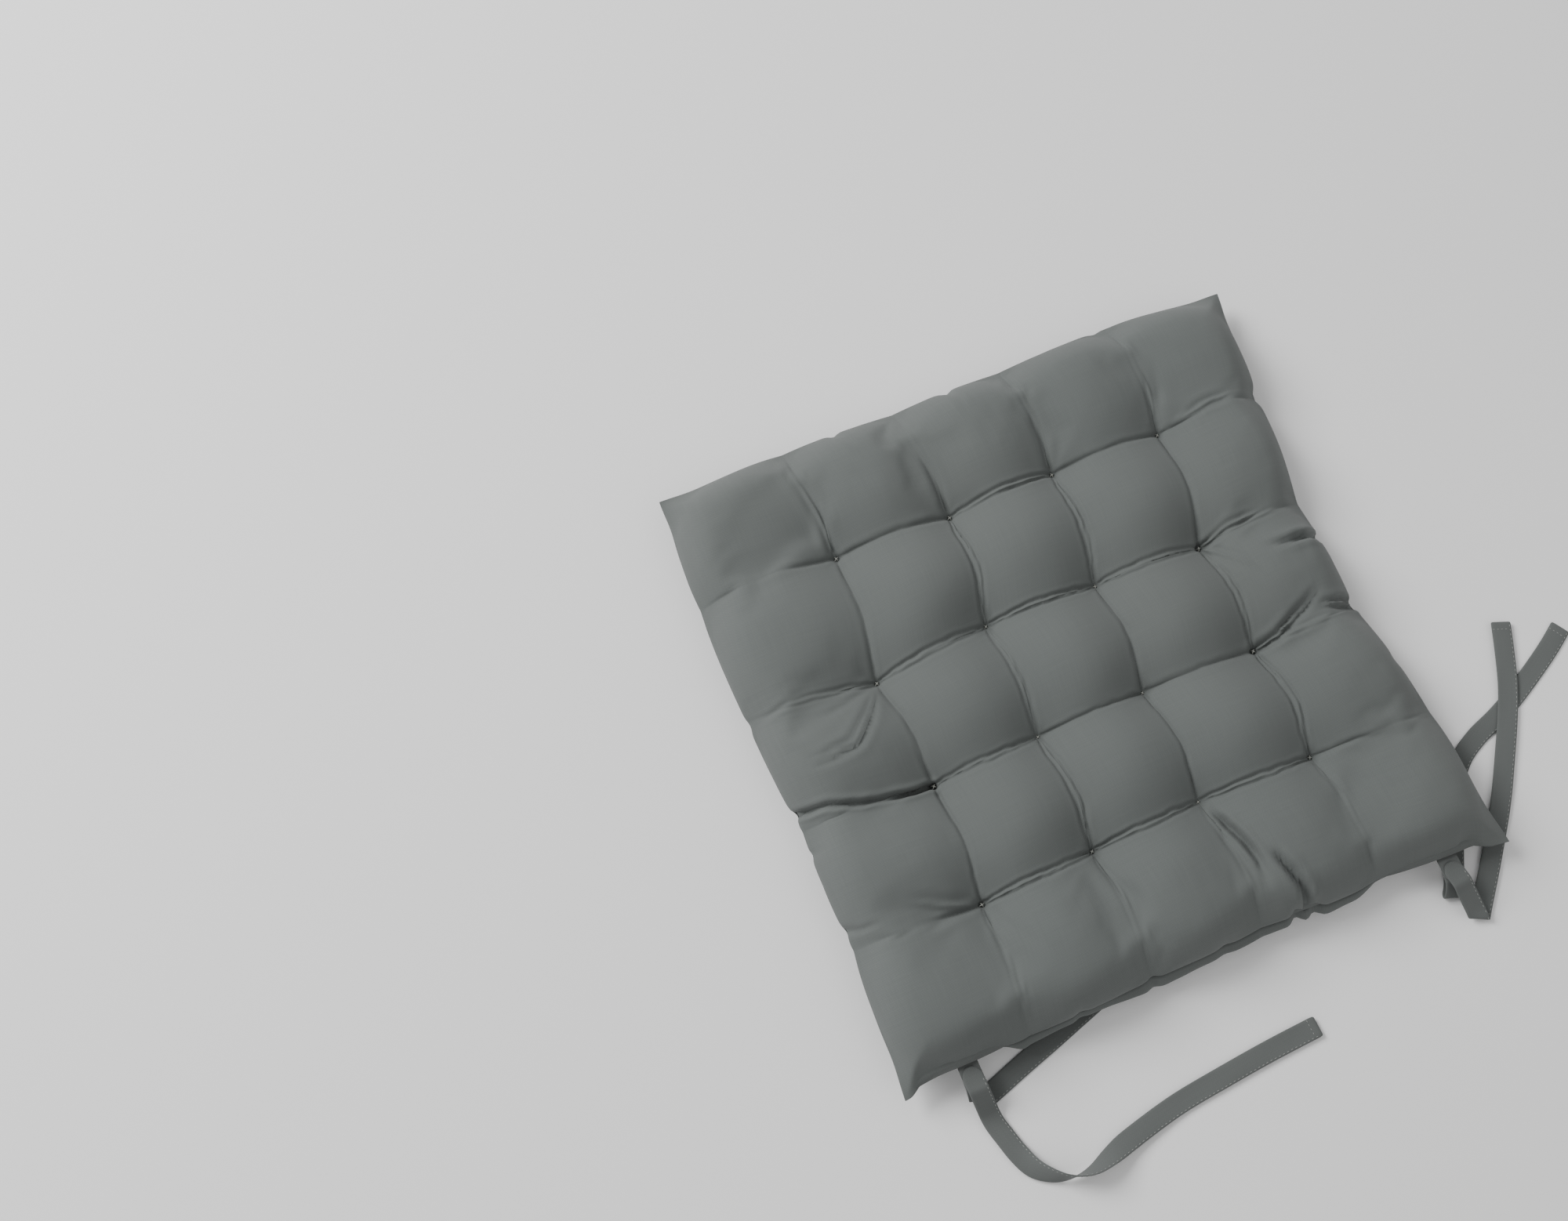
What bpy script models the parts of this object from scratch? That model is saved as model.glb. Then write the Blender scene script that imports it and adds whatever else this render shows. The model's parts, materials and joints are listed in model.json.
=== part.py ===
"""Tufted chair seat pad: a square two-panel cover over loose filling, sixteen stitched tufts,
and two pairs of flat tape ties caught in the near seam. Metres, +Z up, lying on z = 0."""
import math

import bpy
from mathutils import Vector

# Pad, in metres
SIDE = 0.387              # seam to seam, between the middles of two opposite sides
CORNER_REACH = 0.0105     # how far each corner stands outside the middle of its sides
PAD_HEIGHT = 0.044        # underside to the crown of a cell
SEAM_HEIGHT = 0.016       # underside to the seam
TUFT_WAIST = 0.009        # what is left of the filling's height under a tuft
COVER_THICKNESS = 0.0008
SEAM_GAP = 0.0003         # between the two panels where they are sewn
FILLING_GAP = 0.0005      # between the filling and each panel

# Quilting, counted in cells from the left and the near side
CELLS = 5
STEPS_PER_CELL = 4
CHANNEL_SHARE = 0.45      # height of a channel's hump, as a share of a crown
CROWN_ROUNDNESS = 0.7     # under 1 is fuller at the sides of a cell
FLAT_SHARE = 0.61         # underside fullness past which a cell rests flat
EDGE_RISE = 0.35          # cells over which a channel runs out into the seam
EDGE_LIFT = 0.5           # cells over which the underside lifts towards the seam
FILLING_MARGIN = 1        # quilting steps between the seam and the filling
SHOULDER = 0.6            # height of the filling's side, as a share of the room there
ALLOWANCE = (0.08, 0.18)  # cells between the seam and the two edges of the turned-in allowance
ALLOWANCE_THICKNESS = 0.0012

# Tuft stitches
THREAD_RADIUS = 0.0012
KNOT_RADIUS = 0.0024
KNOT_HEIGHT = 0.0009
STITCH_CLEARANCE = 0.0004
STITCH_SIDES = 8

# Ties
TIE_WIDTH = 0.013
TIE_THICKNESS = 0.0012
TIE_PLACE = 0.5           # cells from the corner to the middle of an anchor
TIE_GAP = 0.0003          # between a tie and its anchor
ROOT_REACH = 0.009        # seam to the middle of the anchor's round end
ANCHOR_TUCK = 0.0055      # how far the anchor reaches in behind the seam
NICK_CLEARANCE = 0.0003   # around the anchor in the seam
NICK_HEIGHT = 0.005
ROUTE_STEPS = 4           # cross-sections along each stretch of a tie's route
ARC_STEPS = 12

# Routes in millimetres from the tie's root: x, y, height above the floor, the direction
# of the tape's width in degrees, and its tilt about its own length in degrees.
# The first two heights of each route follow the anchor.
UPPER_LEFT_ROUTE = [
    (0, 0, None, 0, 0), (0.3, -8, None, 0, 0), (0.8, -13.4, 14, 2, 0), (1.3, -19, 9.2, 4, 0),
    (1.9, -25, 4.6, 6, 0), (3, -31.5, 2.7, 10, 0), (5.2, -39.4, 2.4, 18, 0),
    (8.6, -51, 3.1, 25, 4), (14, -62.5, 5.4, 38, 28), (24, -71.2, 7.8, 58, 58),
    (34, -75, 8.6, 78, 85), (45, -75.6, 8.4, 92, 112), (58, -72.6, 6.2, 100, 143),
    (74, -68.4, 3.8, 103, 172), (106.7, -61.5, 2.4, 100, 180), (139.6, -57.6, 2.4, 97, 180),
    (172.8, -54.4, 2.4, 95, 180), (206.5, -52.2, 2.4, 93, 180)]
LOWER_LEFT_ROUTE = [
    (0, 0, None, 0, 0), (-0.2, -5.6, None, 0, 0), (-0.4, -10.4, 10.4, 0, 0),
    (-0.4, -14, 5.8, -8, 0), (0, -15.6, 2.6, -35, 0), (1.4, -15, 0.95, -60, 0),
    (8, -13.6, 0.9, -69, 0), (29.4, -6.6, 0.9, -71, 0), (54.4, 1, 0.9, -72, 0),
    (78.3, 8.6, 0.9, -73, 0), (100, 15.4, 0.9, -73, 0), (124, 22.6, 0.9, -76, 0),
    (150, 26.8, 0.9, -84, 0), (180, 28.2, 0.9, -90, 0), (212, 28, 0.9, -92, 0),
    (244, 26.4, 0.9, -94, 0)]
UPPER_RIGHT_ROUTE = [
    (0, 0, None, 8, 0), (1.4, -8, None, 8, 0), (2.6, -13.8, 14, 8, 0),
    (4, -20.6, 10, 8, 0), (5.2, -27, 6.6, 6, 0), (6, -31.8, 4.4, -20, 0),
    (8, -30.6, 2.5, -38, 0), (14.5, -22.6, 2.4, -40, 0), (32, -1.4, 2.4, -41, 0),
    (53.7, 26.6, 2.4, -37, 0), (71.5, 53.4, 2.4, -33, 0), (84, 73, 2.4, -29, 0),
    (94, 91, 2.4, -26, 0), (103, 112, 2.4, -22, 0), (109.8, 129.6, 2.4, -20, 0)]
LOWER_RIGHT_ROUTE = [
    (0, 0, None, -8, 0), (-0.8, -5.6, None, -8, 0), (-1.4, -10.2, 10.4, -8, 0),
    (-2, -13.6, 5.8, -10, 0), (-2, -15, 2.6, -18, 0), (-1, -13.2, 0.95, -28, 0),
    (3, -7.4, 0.9, -29, 0), (14.6, 14.6, 0.9, -30, 0), (28, 39.5, 0.9, -35, 0),
    (42, 57.6, 0.9, -46, 0), (59, 68.2, 0.9, -58, 0), (78.9, 75.6, 0.9, -63, 0),
    (98, 84.5, 0.9, -62, 0), (127, 100.5, 0.9, -59, 0), (144.7, 112.1, 0.9, -57, 0)]
TIES = {
    "left_tie_upper": (-1, +1, UPPER_LEFT_ROUTE),
    "left_tie_lower": (-1, -1, LOWER_LEFT_ROUTE),
    "right_tie_upper": (+1, +1, UPPER_RIGHT_ROUTE),
    "right_tie_lower": (+1, -1, LOWER_RIGHT_ROUTE),
}

MM = 0.001
GRID_STEPS = CELLS * STEPS_PER_CELL
STEP = 1 / STEPS_PER_CELL


def smooth_step(value):
    value = min(1, max(0, value))
    return value * value * (3 - 2 * value)


def fullness(s, t):
    """0 at the tufts and the seam, CHANNEL_SHARE on a channel, 1 at the middle of a cell."""
    across = abs(math.sin(math.pi * s)) ** CROWN_ROUNDNESS
    along = abs(math.sin(math.pi * t)) ** CROWN_ROUNDNESS
    hump = across * (1 - along) + along * (1 - across)
    return across * along + CHANNEL_SHARE * hump * smooth_step(edge_distance(s, t) / EDGE_RISE)


def edge_distance(s, t):
    return max(0, min(s, t, CELLS - s, CELLS - t))


def waist(s, t):
    """Half the filling's height at a tuft, running out to nothing at the seam."""
    return TUFT_WAIST / 2 * smooth_step(edge_distance(s, t) / EDGE_LIFT)


def top_inside(s, t):
    base = SEAM_HEIGHT + SEAM_GAP / 2 + waist(s, t)
    return base + (PAD_HEIGHT - COVER_THICKNESS - base) * fullness(s, t)


def bottom_inside(s, t):
    base = SEAM_HEIGHT - SEAM_GAP / 2 - waist(s, t)
    lift = smooth_step(edge_distance(s, t) / EDGE_LIFT)
    return base - (base - COVER_THICKNESS) * min(1, fullness(s, t) / FLAT_SHARE) * lift


def plan_point(s, t):
    """The place of a quilting point: the sides pull in between the corners."""
    u, v = 2 * s / CELLS - 1, 2 * t / CELLS - 1
    return (SIDE / 2 * u + CORNER_REACH * u ** 3 * v ** 2,
            SIDE / 2 * v + CORNER_REACH * v ** 3 * u ** 2)


def material(name, color, roughness):
    made = bpy.data.materials.new(name)
    made.use_nodes = True
    shader = made.node_tree.nodes["Principled BSDF"]
    shader.inputs["Base Color"].default_value = (*color, 1)
    shader.inputs["Roughness"].default_value = roughness
    shader.inputs["Metallic"].default_value = 0
    return made


def collection(name, helper=False):
    made = bpy.data.collections.new(name)
    bpy.context.scene.collection.children.link(made)
    made.hide_render = helper
    return made


def keep(body, name, surface, group):
    """Names a new object, gives it its material and moves it to its collection."""
    body.name = body.data.name = name
    for owner in list(body.users_collection):
        owner.objects.unlink(body)
    group.objects.link(body)
    body.data.materials.clear()
    body.data.materials.append(surface)
    return body


def quilted_grid(margin=0):
    """A flat grid with one unit to a cell, its origin at the middle of the pad. Every layer
    has the same diagonals, each towards its own corner of the pad, so that layers stay parallel."""
    steps = GRID_STEPS - 2 * margin
    bpy.ops.mesh.primitive_grid_add(x_subdivisions=steps, y_subdivisions=steps, size=steps * STEP)
    grid = bpy.context.active_object
    for method, sign in (("FIXED", 1), ("FIXED_ALTERNATE", -1)):
        select_faces(grid, lambda place: place.x * place.y * sign > 0)
        bpy.ops.mesh.quads_convert_to_tris(quad_method=method)
        bpy.ops.object.mode_set(mode="OBJECT")
    return grid


def select_faces(body, wanted):
    """Selects the faces whose middles are wanted, and leaves the body in edit mode."""
    bpy.ops.object.mode_set(mode="EDIT")
    bpy.ops.mesh.select_mode(type="FACE")
    bpy.ops.mesh.select_all(action="DESELECT")
    bpy.ops.object.mode_set(mode="OBJECT")
    for face in body.data.polygons:
        face.select = wanted(face.center)
    bpy.ops.object.mode_set(mode="EDIT")


def give_depth(body):
    """Closes an open sheet into a slab whose lower face is at z = -1."""
    layer = body.modifiers.new("depth", "SOLIDIFY")
    layer.thickness = 1
    layer.offset = -1
    bpy.ops.object.select_all(action="DESELECT")
    body.select_set(True)
    bpy.context.view_layer.objects.active = body
    bpy.ops.object.modifier_apply(modifier=layer.name)


def slab(name, surface, group, above, below, margin=0):
    """A closed quilted layer between two height rules, margin steps in from the seam."""
    body = quilted_grid(margin)
    give_depth(body)
    for vertex in body.data.vertices:
        rule = above if vertex.co.z > -0.5 else below
        s, t = vertex.co.x + CELLS / 2, vertex.co.y + CELLS / 2
        vertex.co = (*plan_point(s, t), rule(s, t))
    body.data.shade_smooth()
    body.data.set_sharp_from_angle(angle=math.radians(50))
    return keep(body, name, surface, group)


def make_covers(surface, group):
    top = slab("top_cover", surface, group,
               lambda s, t: top_inside(s, t) + COVER_THICKNESS, top_inside)
    bottom = slab("bottom_cover", surface, group,
                  bottom_inside, lambda s, t: bottom_inside(s, t) - COVER_THICKNESS)
    return top, bottom


def shoulder(s, t, height):
    """The filling's outer ring is lower than the room inside the covers."""
    at_side = edge_distance(s, t) < (FILLING_MARGIN + 0.5) * STEP
    return SEAM_HEIGHT + (height - SEAM_HEIGHT) * (SHOULDER if at_side else 1)


def make_filling(surface, group):
    return slab("filling", surface, group,
                lambda s, t: shoulder(s, t, top_inside(s, t) - FILLING_GAP),
                lambda s, t: shoulder(s, t, bottom_inside(s, t) + FILLING_GAP), FILLING_MARGIN)


def make_allowance(surface, group):
    """The panels' edges, turned in and bound together: one flat band all round, inside the seam."""
    band = quilted_grid()
    inner = CELLS / 2 - STEP
    select_faces(band, lambda place: max(abs(place.x), abs(place.y)) < inner)
    bpy.ops.mesh.delete(type="FACE")
    bpy.ops.object.mode_set(mode="OBJECT")
    give_depth(band)
    for vertex in band.data.vertices:
        level = SEAM_HEIGHT + math.copysign(ALLOWANCE_THICKNESS / 2, vertex.co.z + 0.5)
        ring = max(abs(vertex.co.x), abs(vertex.co.y))
        reach = CELLS / 2 - ALLOWANCE[ring < inner + STEP / 2]
        s, t = (CELLS / 2 + (math.copysign(reach, place) if abs(place) > ring - STEP / 2 else place)
                for place in vertex.co.xy)
        vertex.co = (*plan_point(s, t), level)
    return keep(band, "seam_allowance", surface, group)


def tuft_places():
    for row in range(1, CELLS):
        for column in range(1, CELLS):
            yield f"tuft_{row}{column}", column, row


def steepest_rise(rule, s, t, reach):
    """How far a panel climbs within reach of a tuft, along the diagonal of a cell."""
    start, end = Vector(plan_point(s, t)), Vector(plan_point(s + STEP, t + STEP))
    return abs(rule(s + STEP, t + STEP) - rule(s, t)) / (end - start).length * reach


def make_tufts(surface, group):
    """A turned spool: the thread through the pad, with a flat knot above and below."""
    for name, s, t in tuft_places():
        rise = steepest_rise(top_inside, s, t, KNOT_RADIUS) + STITCH_CLEARANCE
        drop = steepest_rise(bottom_inside, s, t, KNOT_RADIUS) + STITCH_CLEARANCE
        high = top_inside(s, t) + COVER_THICKNESS + rise
        low = bottom_inside(s, t) - COVER_THICKNESS - drop
        outline = [(0, high + KNOT_HEIGHT), (KNOT_RADIUS, high + KNOT_HEIGHT), (KNOT_RADIUS, high),
                   (THREAD_RADIUS, high), (THREAD_RADIUS, low), (KNOT_RADIUS, low),
                   (KNOT_RADIUS, low - KNOT_HEIGHT), (0, low - KNOT_HEIGHT)]
        sketch = bpy.data.meshes.new(name)
        steps = range(len(outline) - 1)
        sketch.from_pydata([(x, 0, z) for x, z in outline], [(i, i + 1) for i in steps], [])
        body = bpy.data.objects.new(name, sketch)
        body.location = (*plan_point(s, t), 0)
        bpy.context.scene.collection.objects.link(body)
        turn = body.modifiers.new("turn", "SCREW")
        turn.steps = turn.render_steps = STITCH_SIDES
        turn.use_merge_vertices = True
        turn.merge_threshold = 0.0001
        keep(body, name, surface, group)


def cutter(name, group):
    """Turns the active object into a hidden wire cutter."""
    body = bpy.context.active_object
    keep(body, name, material(name, (1, 0.4, 0.1), 0.5), group)
    body.display_type = "WIRE"
    body.hide_render = True
    return body


def cut(body, tool):
    hole = body.modifiers.new(tool.name, "BOOLEAN")
    hole.operation = "DIFFERENCE"
    hole.solver = "EXACT"
    hole.object = tool


def pierce_for_tufts(layers, group):
    """One hole through every layer for each stitch."""
    for name, s, t in tuft_places():
        bpy.ops.mesh.primitive_cylinder_add(
            vertices=STITCH_SIDES, radius=THREAD_RADIUS + STITCH_CLEARANCE, depth=2 * PAD_HEIGHT,
            location=(*plan_point(s, t), PAD_HEIGHT / 2))
        bpy.context.active_object.name = "hole_" + name
    bpy.ops.object.select_all(action="DESELECT")
    for body in bpy.context.scene.objects:
        body.select_set(body.name.startswith("hole_"))
    bpy.context.view_layer.objects.active = bpy.context.selected_objects[0]
    bpy.ops.object.join()
    tool = cutter("tuft_holes", group)
    for layer in layers:
        cut(layer, tool)


def root_place(side):
    """The middle of an anchor's round end. side is -1 on the left and +1 on the right."""
    x, y = plan_point(TIE_PLACE, 0)
    return -x * side, y - ROOT_REACH


def make_anchor(name, side, surface, group):
    """The folded middle of a pair of ties, caught in the seam: a flat tongue with a round end."""
    half = TIE_WIDTH / 2
    tuck = ROOT_REACH + ANCHOR_TUCK
    turns = [math.pi * (1 + i / ARC_STEPS) for i in range(ARC_STEPS + 1)]
    points = [(half, tuck), (-half, tuck)] + [(half * math.cos(a), half * math.sin(a)) for a in turns]
    sketch = bpy.data.curves.new(name, "CURVE")
    sketch.dimensions = "2D"
    sketch.fill_mode = "BOTH"
    sketch.extrude = TIE_THICKNESS / 2
    outline = sketch.splines.new("POLY")
    outline.points.add(len(points) - 1)
    for point, (x, y) in zip(outline.points, points):
        point.co = (x, y, 0, 1)
    outline.use_cyclic_u = True
    body = bpy.data.objects.new(name, sketch)
    body.location = (*root_place(side), SEAM_HEIGHT)
    bpy.context.scene.collection.objects.link(body)
    return keep(body, name, surface, group)


def nick_for_anchor(name, side, layers, group):
    x, y = root_place(side)
    depth = ROOT_REACH + ANCHOR_TUCK + NICK_CLEARANCE
    bpy.ops.mesh.primitive_cube_add(size=1, location=(x, y + depth / 2, SEAM_HEIGHT))
    body = bpy.context.active_object
    body.scale = (TIE_WIDTH + 2 * NICK_CLEARANCE, depth, NICK_HEIGHT)
    bpy.ops.object.transform_apply(location=False, rotation=False, scale=True)
    tool = cutter(name, group)
    for layer in layers:
        cut(layer, tool)


def smooth_between(before, start, end, after, share):
    """A point of a smooth curve through start and end, with its neighbours giving its direction."""
    return 0.5 * (2 * start + (end - before) * share
                  + (2 * before - 5 * start + 4 * end - after) * share ** 2
                  + (3 * start - before - 3 * end + after) * share ** 3)


def tape_sections(side, level, route):
    """The two edges of a tape at each cross-section, in world metres."""
    root = Vector((*root_place(side), 0))
    root_height = SEAM_HEIGHT + level * (TIE_THICKNESS + TIE_GAP)
    rows = [Vector((x * MM, y * MM, root_height if z is None else z * MM)) for x, y, z, _, _ in route]
    turns = [Vector((math.radians(across), math.radians(tilt), 0)) for *_, across, tilt in route]
    edges = []
    last = len(rows) - 1
    for i in range(last):
        around = [rows[k] for k in (max(0, i - 1), i, i + 1, min(last, i + 2))]
        if i == 0:
            around[-1] = 2 * rows[1] - rows[0]     # straight and level along the anchor
        shares = [step / ROUTE_STEPS for step in range(ROUTE_STEPS + (i == last - 1))]
        for share in shares:
            middle = root + smooth_between(*around, share)
            across, tilt, _ = turns[i].lerp(turns[i + 1], share)
            flat = math.cos(tilt)
            reach = Vector((flat * math.cos(across), flat * math.sin(across), math.sin(tilt)))
            edges.append((middle - reach * TIE_WIDTH / 2, middle + reach * TIE_WIDTH / 2))
    return edges


def make_tie(name, side, level, route, surface, group):
    """A flat tape: a strip of faces laid along the route, thickened both ways."""
    edges = tape_sections(side, level, route)
    bpy.ops.mesh.primitive_grid_add(x_subdivisions=len(edges) - 1, y_subdivisions=1, size=2)
    body = bpy.context.active_object
    step = 2 / (len(edges) - 1)
    pivot = Vector((*root_place(side), 0))
    for vertex in body.data.vertices:
        near_edge, far_edge = edges[round((vertex.co.x + 1) / step)]
        vertex.co = (near_edge if vertex.co.y < 0 else far_edge) - pivot
    body.location = pivot
    body.data.shade_smooth()
    body.data.set_sharp_from_angle(angle=math.radians(40))
    wall = body.modifiers.new("tape", "SOLIDIFY")
    wall.thickness = TIE_THICKNESS
    wall.offset = 0
    return keep(body, name, surface, group)


def main():
    for thing in list(bpy.data.objects):
        bpy.data.objects.remove(thing)
    pad = collection("tufted_seat_pad")
    cutters = collection("cutters", helper=True)
    cloth = material("woven_cotton", (0.162, 0.178, 0.172), 0.9)
    wadding = material("polyester_wadding", (0.72, 0.72, 0.7), 1.0)
    thread = material("tuft_thread", (0.11, 0.12, 0.12), 0.8)
    tape = material("cotton_tape", (0.14, 0.15, 0.148), 0.85)
    covers = make_covers(cloth, pad)
    filling = make_filling(wadding, pad)
    make_allowance(cloth, pad)
    make_tufts(thread, pad)
    pierce_for_tufts([*covers, filling], cutters)
    for word, side in (("left", -1), ("right", +1)):
        make_anchor(f"{word}_tie_anchor", side, tape, pad)
        nick_for_anchor(f"{word}_nick", side, covers, cutters)
    for name, (side, level, route) in TIES.items():
        make_tie(name, side, level, route, tape, pad)


main()
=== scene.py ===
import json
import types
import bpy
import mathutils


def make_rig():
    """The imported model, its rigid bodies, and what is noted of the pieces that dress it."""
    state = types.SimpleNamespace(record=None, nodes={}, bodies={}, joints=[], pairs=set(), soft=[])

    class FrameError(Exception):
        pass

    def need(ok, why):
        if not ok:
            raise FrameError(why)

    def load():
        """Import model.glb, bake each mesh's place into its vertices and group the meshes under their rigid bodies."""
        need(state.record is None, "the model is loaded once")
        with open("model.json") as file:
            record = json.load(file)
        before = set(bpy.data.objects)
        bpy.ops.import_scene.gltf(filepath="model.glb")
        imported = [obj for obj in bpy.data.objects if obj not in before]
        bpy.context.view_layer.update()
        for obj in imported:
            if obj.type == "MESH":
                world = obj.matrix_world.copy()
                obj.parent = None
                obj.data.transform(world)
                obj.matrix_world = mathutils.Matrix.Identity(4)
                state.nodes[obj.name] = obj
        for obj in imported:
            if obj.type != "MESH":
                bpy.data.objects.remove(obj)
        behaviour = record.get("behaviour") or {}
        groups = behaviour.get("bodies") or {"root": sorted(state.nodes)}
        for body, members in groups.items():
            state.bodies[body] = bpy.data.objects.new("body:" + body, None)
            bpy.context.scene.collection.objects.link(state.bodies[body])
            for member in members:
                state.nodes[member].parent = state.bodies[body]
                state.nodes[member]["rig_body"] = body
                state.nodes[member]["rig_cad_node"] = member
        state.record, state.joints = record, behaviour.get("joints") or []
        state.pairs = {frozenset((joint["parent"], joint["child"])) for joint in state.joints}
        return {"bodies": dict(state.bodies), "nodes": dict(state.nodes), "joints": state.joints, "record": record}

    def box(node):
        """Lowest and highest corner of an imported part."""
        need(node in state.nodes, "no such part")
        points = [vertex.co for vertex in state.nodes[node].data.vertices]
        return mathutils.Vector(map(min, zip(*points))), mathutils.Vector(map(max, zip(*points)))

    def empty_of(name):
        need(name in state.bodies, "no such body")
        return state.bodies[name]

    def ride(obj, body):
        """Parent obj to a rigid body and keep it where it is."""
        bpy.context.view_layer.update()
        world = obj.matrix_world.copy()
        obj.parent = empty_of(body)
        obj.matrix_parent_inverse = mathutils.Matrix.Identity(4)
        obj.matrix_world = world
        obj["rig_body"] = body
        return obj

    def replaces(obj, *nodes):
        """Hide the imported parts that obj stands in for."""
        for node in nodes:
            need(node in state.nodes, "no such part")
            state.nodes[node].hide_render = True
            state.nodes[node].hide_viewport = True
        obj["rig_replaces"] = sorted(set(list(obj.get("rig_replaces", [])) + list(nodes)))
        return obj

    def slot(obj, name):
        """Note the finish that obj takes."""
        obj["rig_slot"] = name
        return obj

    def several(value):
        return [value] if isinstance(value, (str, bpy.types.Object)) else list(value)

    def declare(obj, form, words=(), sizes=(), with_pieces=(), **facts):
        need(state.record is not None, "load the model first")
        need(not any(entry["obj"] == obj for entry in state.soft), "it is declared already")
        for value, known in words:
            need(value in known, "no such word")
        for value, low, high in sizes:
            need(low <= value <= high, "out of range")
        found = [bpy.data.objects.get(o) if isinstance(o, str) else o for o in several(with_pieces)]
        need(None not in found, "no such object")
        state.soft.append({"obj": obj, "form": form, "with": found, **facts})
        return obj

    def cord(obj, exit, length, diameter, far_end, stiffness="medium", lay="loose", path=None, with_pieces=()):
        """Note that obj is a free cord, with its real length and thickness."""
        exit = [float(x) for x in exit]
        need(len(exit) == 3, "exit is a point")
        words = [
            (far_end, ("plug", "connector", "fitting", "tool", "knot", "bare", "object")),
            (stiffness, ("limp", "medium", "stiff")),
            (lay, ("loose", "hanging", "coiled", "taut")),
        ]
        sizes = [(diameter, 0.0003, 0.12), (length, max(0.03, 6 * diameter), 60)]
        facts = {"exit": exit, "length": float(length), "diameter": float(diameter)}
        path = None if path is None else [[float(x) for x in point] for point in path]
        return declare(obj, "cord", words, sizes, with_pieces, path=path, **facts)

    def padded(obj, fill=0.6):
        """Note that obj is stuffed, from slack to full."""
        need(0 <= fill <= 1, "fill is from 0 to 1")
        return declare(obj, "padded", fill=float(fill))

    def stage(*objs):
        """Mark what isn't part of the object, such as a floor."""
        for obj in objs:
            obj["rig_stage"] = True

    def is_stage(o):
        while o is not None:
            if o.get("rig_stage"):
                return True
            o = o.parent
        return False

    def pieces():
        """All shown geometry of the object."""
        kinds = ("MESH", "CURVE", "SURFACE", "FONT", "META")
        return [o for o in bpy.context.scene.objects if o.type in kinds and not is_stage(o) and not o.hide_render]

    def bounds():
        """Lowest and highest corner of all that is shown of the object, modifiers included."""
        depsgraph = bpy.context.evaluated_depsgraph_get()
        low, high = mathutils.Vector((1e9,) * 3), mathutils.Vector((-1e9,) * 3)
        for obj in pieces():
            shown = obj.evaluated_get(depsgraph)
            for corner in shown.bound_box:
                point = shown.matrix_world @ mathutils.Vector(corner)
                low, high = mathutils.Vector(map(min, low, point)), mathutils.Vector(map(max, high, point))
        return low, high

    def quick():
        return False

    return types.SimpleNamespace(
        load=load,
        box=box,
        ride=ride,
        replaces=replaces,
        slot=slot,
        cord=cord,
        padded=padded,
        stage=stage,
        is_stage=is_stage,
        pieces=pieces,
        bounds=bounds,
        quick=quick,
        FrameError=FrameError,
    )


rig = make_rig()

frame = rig.load()

import json
import math
import random
import bpy
import numpy as np
from mathutils import Matrix, Vector, noise

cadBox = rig.bounds()
print("frame loaded")


# camera and daylight

cameraSetup = {
    "place": (-0.2693, -0.1824, 1.0703),
    "turn": (16.0, 0.0, -22.18),       # degrees: 74 above the floor, from the left of the tie edge
    "lens": 39.6,
    "sensor": 36.0,
}


def makeCamera():
    view = bpy.data.cameras.new("view")
    view.lens = cameraSetup["lens"]
    view.sensor_width = cameraSetup["sensor"]
    view.clip_start = 0.01
    view.clip_end = 20
    camera = bpy.data.objects.new("view", view)
    camera.location = cameraSetup["place"]
    camera.rotation_euler = [math.radians(a) for a in cameraSetup["turn"]]
    bpy.context.scene.collection.objects.link(camera)
    bpy.context.scene.camera = camera


studio = {
    "skyColor": (1.0, 1.0, 1.0),
    "skyStrength": 0.5,
    # name, place, size, power, colour
    "lamps": [
        ("windowLamp", (-1.5, 1.6, 1.7), 1.3, 78, (1.0, 1.0, 1.0)),
        ("fillLamp", (1.8, -1.6, 1.9), 2.2, 9, (1.0, 0.99, 0.97)),
    ],
    "floorSize": 8,
    "floorColor": (0.96, 0.96, 0.96),
}


def makeStudio():
    world = bpy.data.worlds.new("studio")
    world.use_nodes = True
    sky = world.node_tree.nodes["Background"]
    sky.inputs["Color"].default_value = (*studio["skyColor"], 1)
    sky.inputs["Strength"].default_value = studio["skyStrength"]
    bpy.context.scene.world = world
    for name, place, size, power, color in studio["lamps"]:
        lamp = bpy.data.lights.new(name, "AREA")
        lamp.size = size
        lamp.energy = power
        lamp.color = color
        holder = bpy.data.objects.new(name, lamp)
        holder.location = place
        holder.rotation_euler = (-Vector(place)).to_track_quat("-Z", "Y").to_euler()
        bpy.context.scene.collection.objects.link(holder)
    deselectAll()
    bpy.ops.mesh.primitive_plane_add(size=studio["floorSize"], location=(0, 0, 0))
    floor = bpy.context.active_object
    floor.name = "studioFloor"
    paint = Shader("studioFloor")
    paint.surface(paint.color(studio["floorColor"]), 0.9)
    floor.data.materials.append(paint.material)
    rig.stage(floor)


# modelling helpers

def deselectAll():
    if bpy.context.object and bpy.context.object.mode != "OBJECT":
        bpy.ops.object.mode_set(mode="OBJECT")
    bpy.ops.object.select_all(action="DESELECT")


def pick(piece):
    deselectAll()
    piece.select_set(True)
    bpy.context.view_layer.objects.active = piece


def applyTransform(piece):
    pick(piece)
    bpy.ops.object.transform_apply(location=True, rotation=True, scale=True)


def inEditMode(piece, *steps):
    # runs each mesh operator, with its settings, on the whole piece
    pick(piece)
    bpy.ops.object.mode_set(mode="EDIT")
    bpy.ops.mesh.select_all(action="SELECT")
    for run, settings in steps:
        run(**settings)
    bpy.ops.object.mode_set(mode="OBJECT")


def copyTo(piece, place):
    copy = piece.copy()
    copy.data = piece.data.copy()
    copy.matrix_world = place
    bpy.context.scene.collection.objects.link(copy)
    return copy


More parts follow.
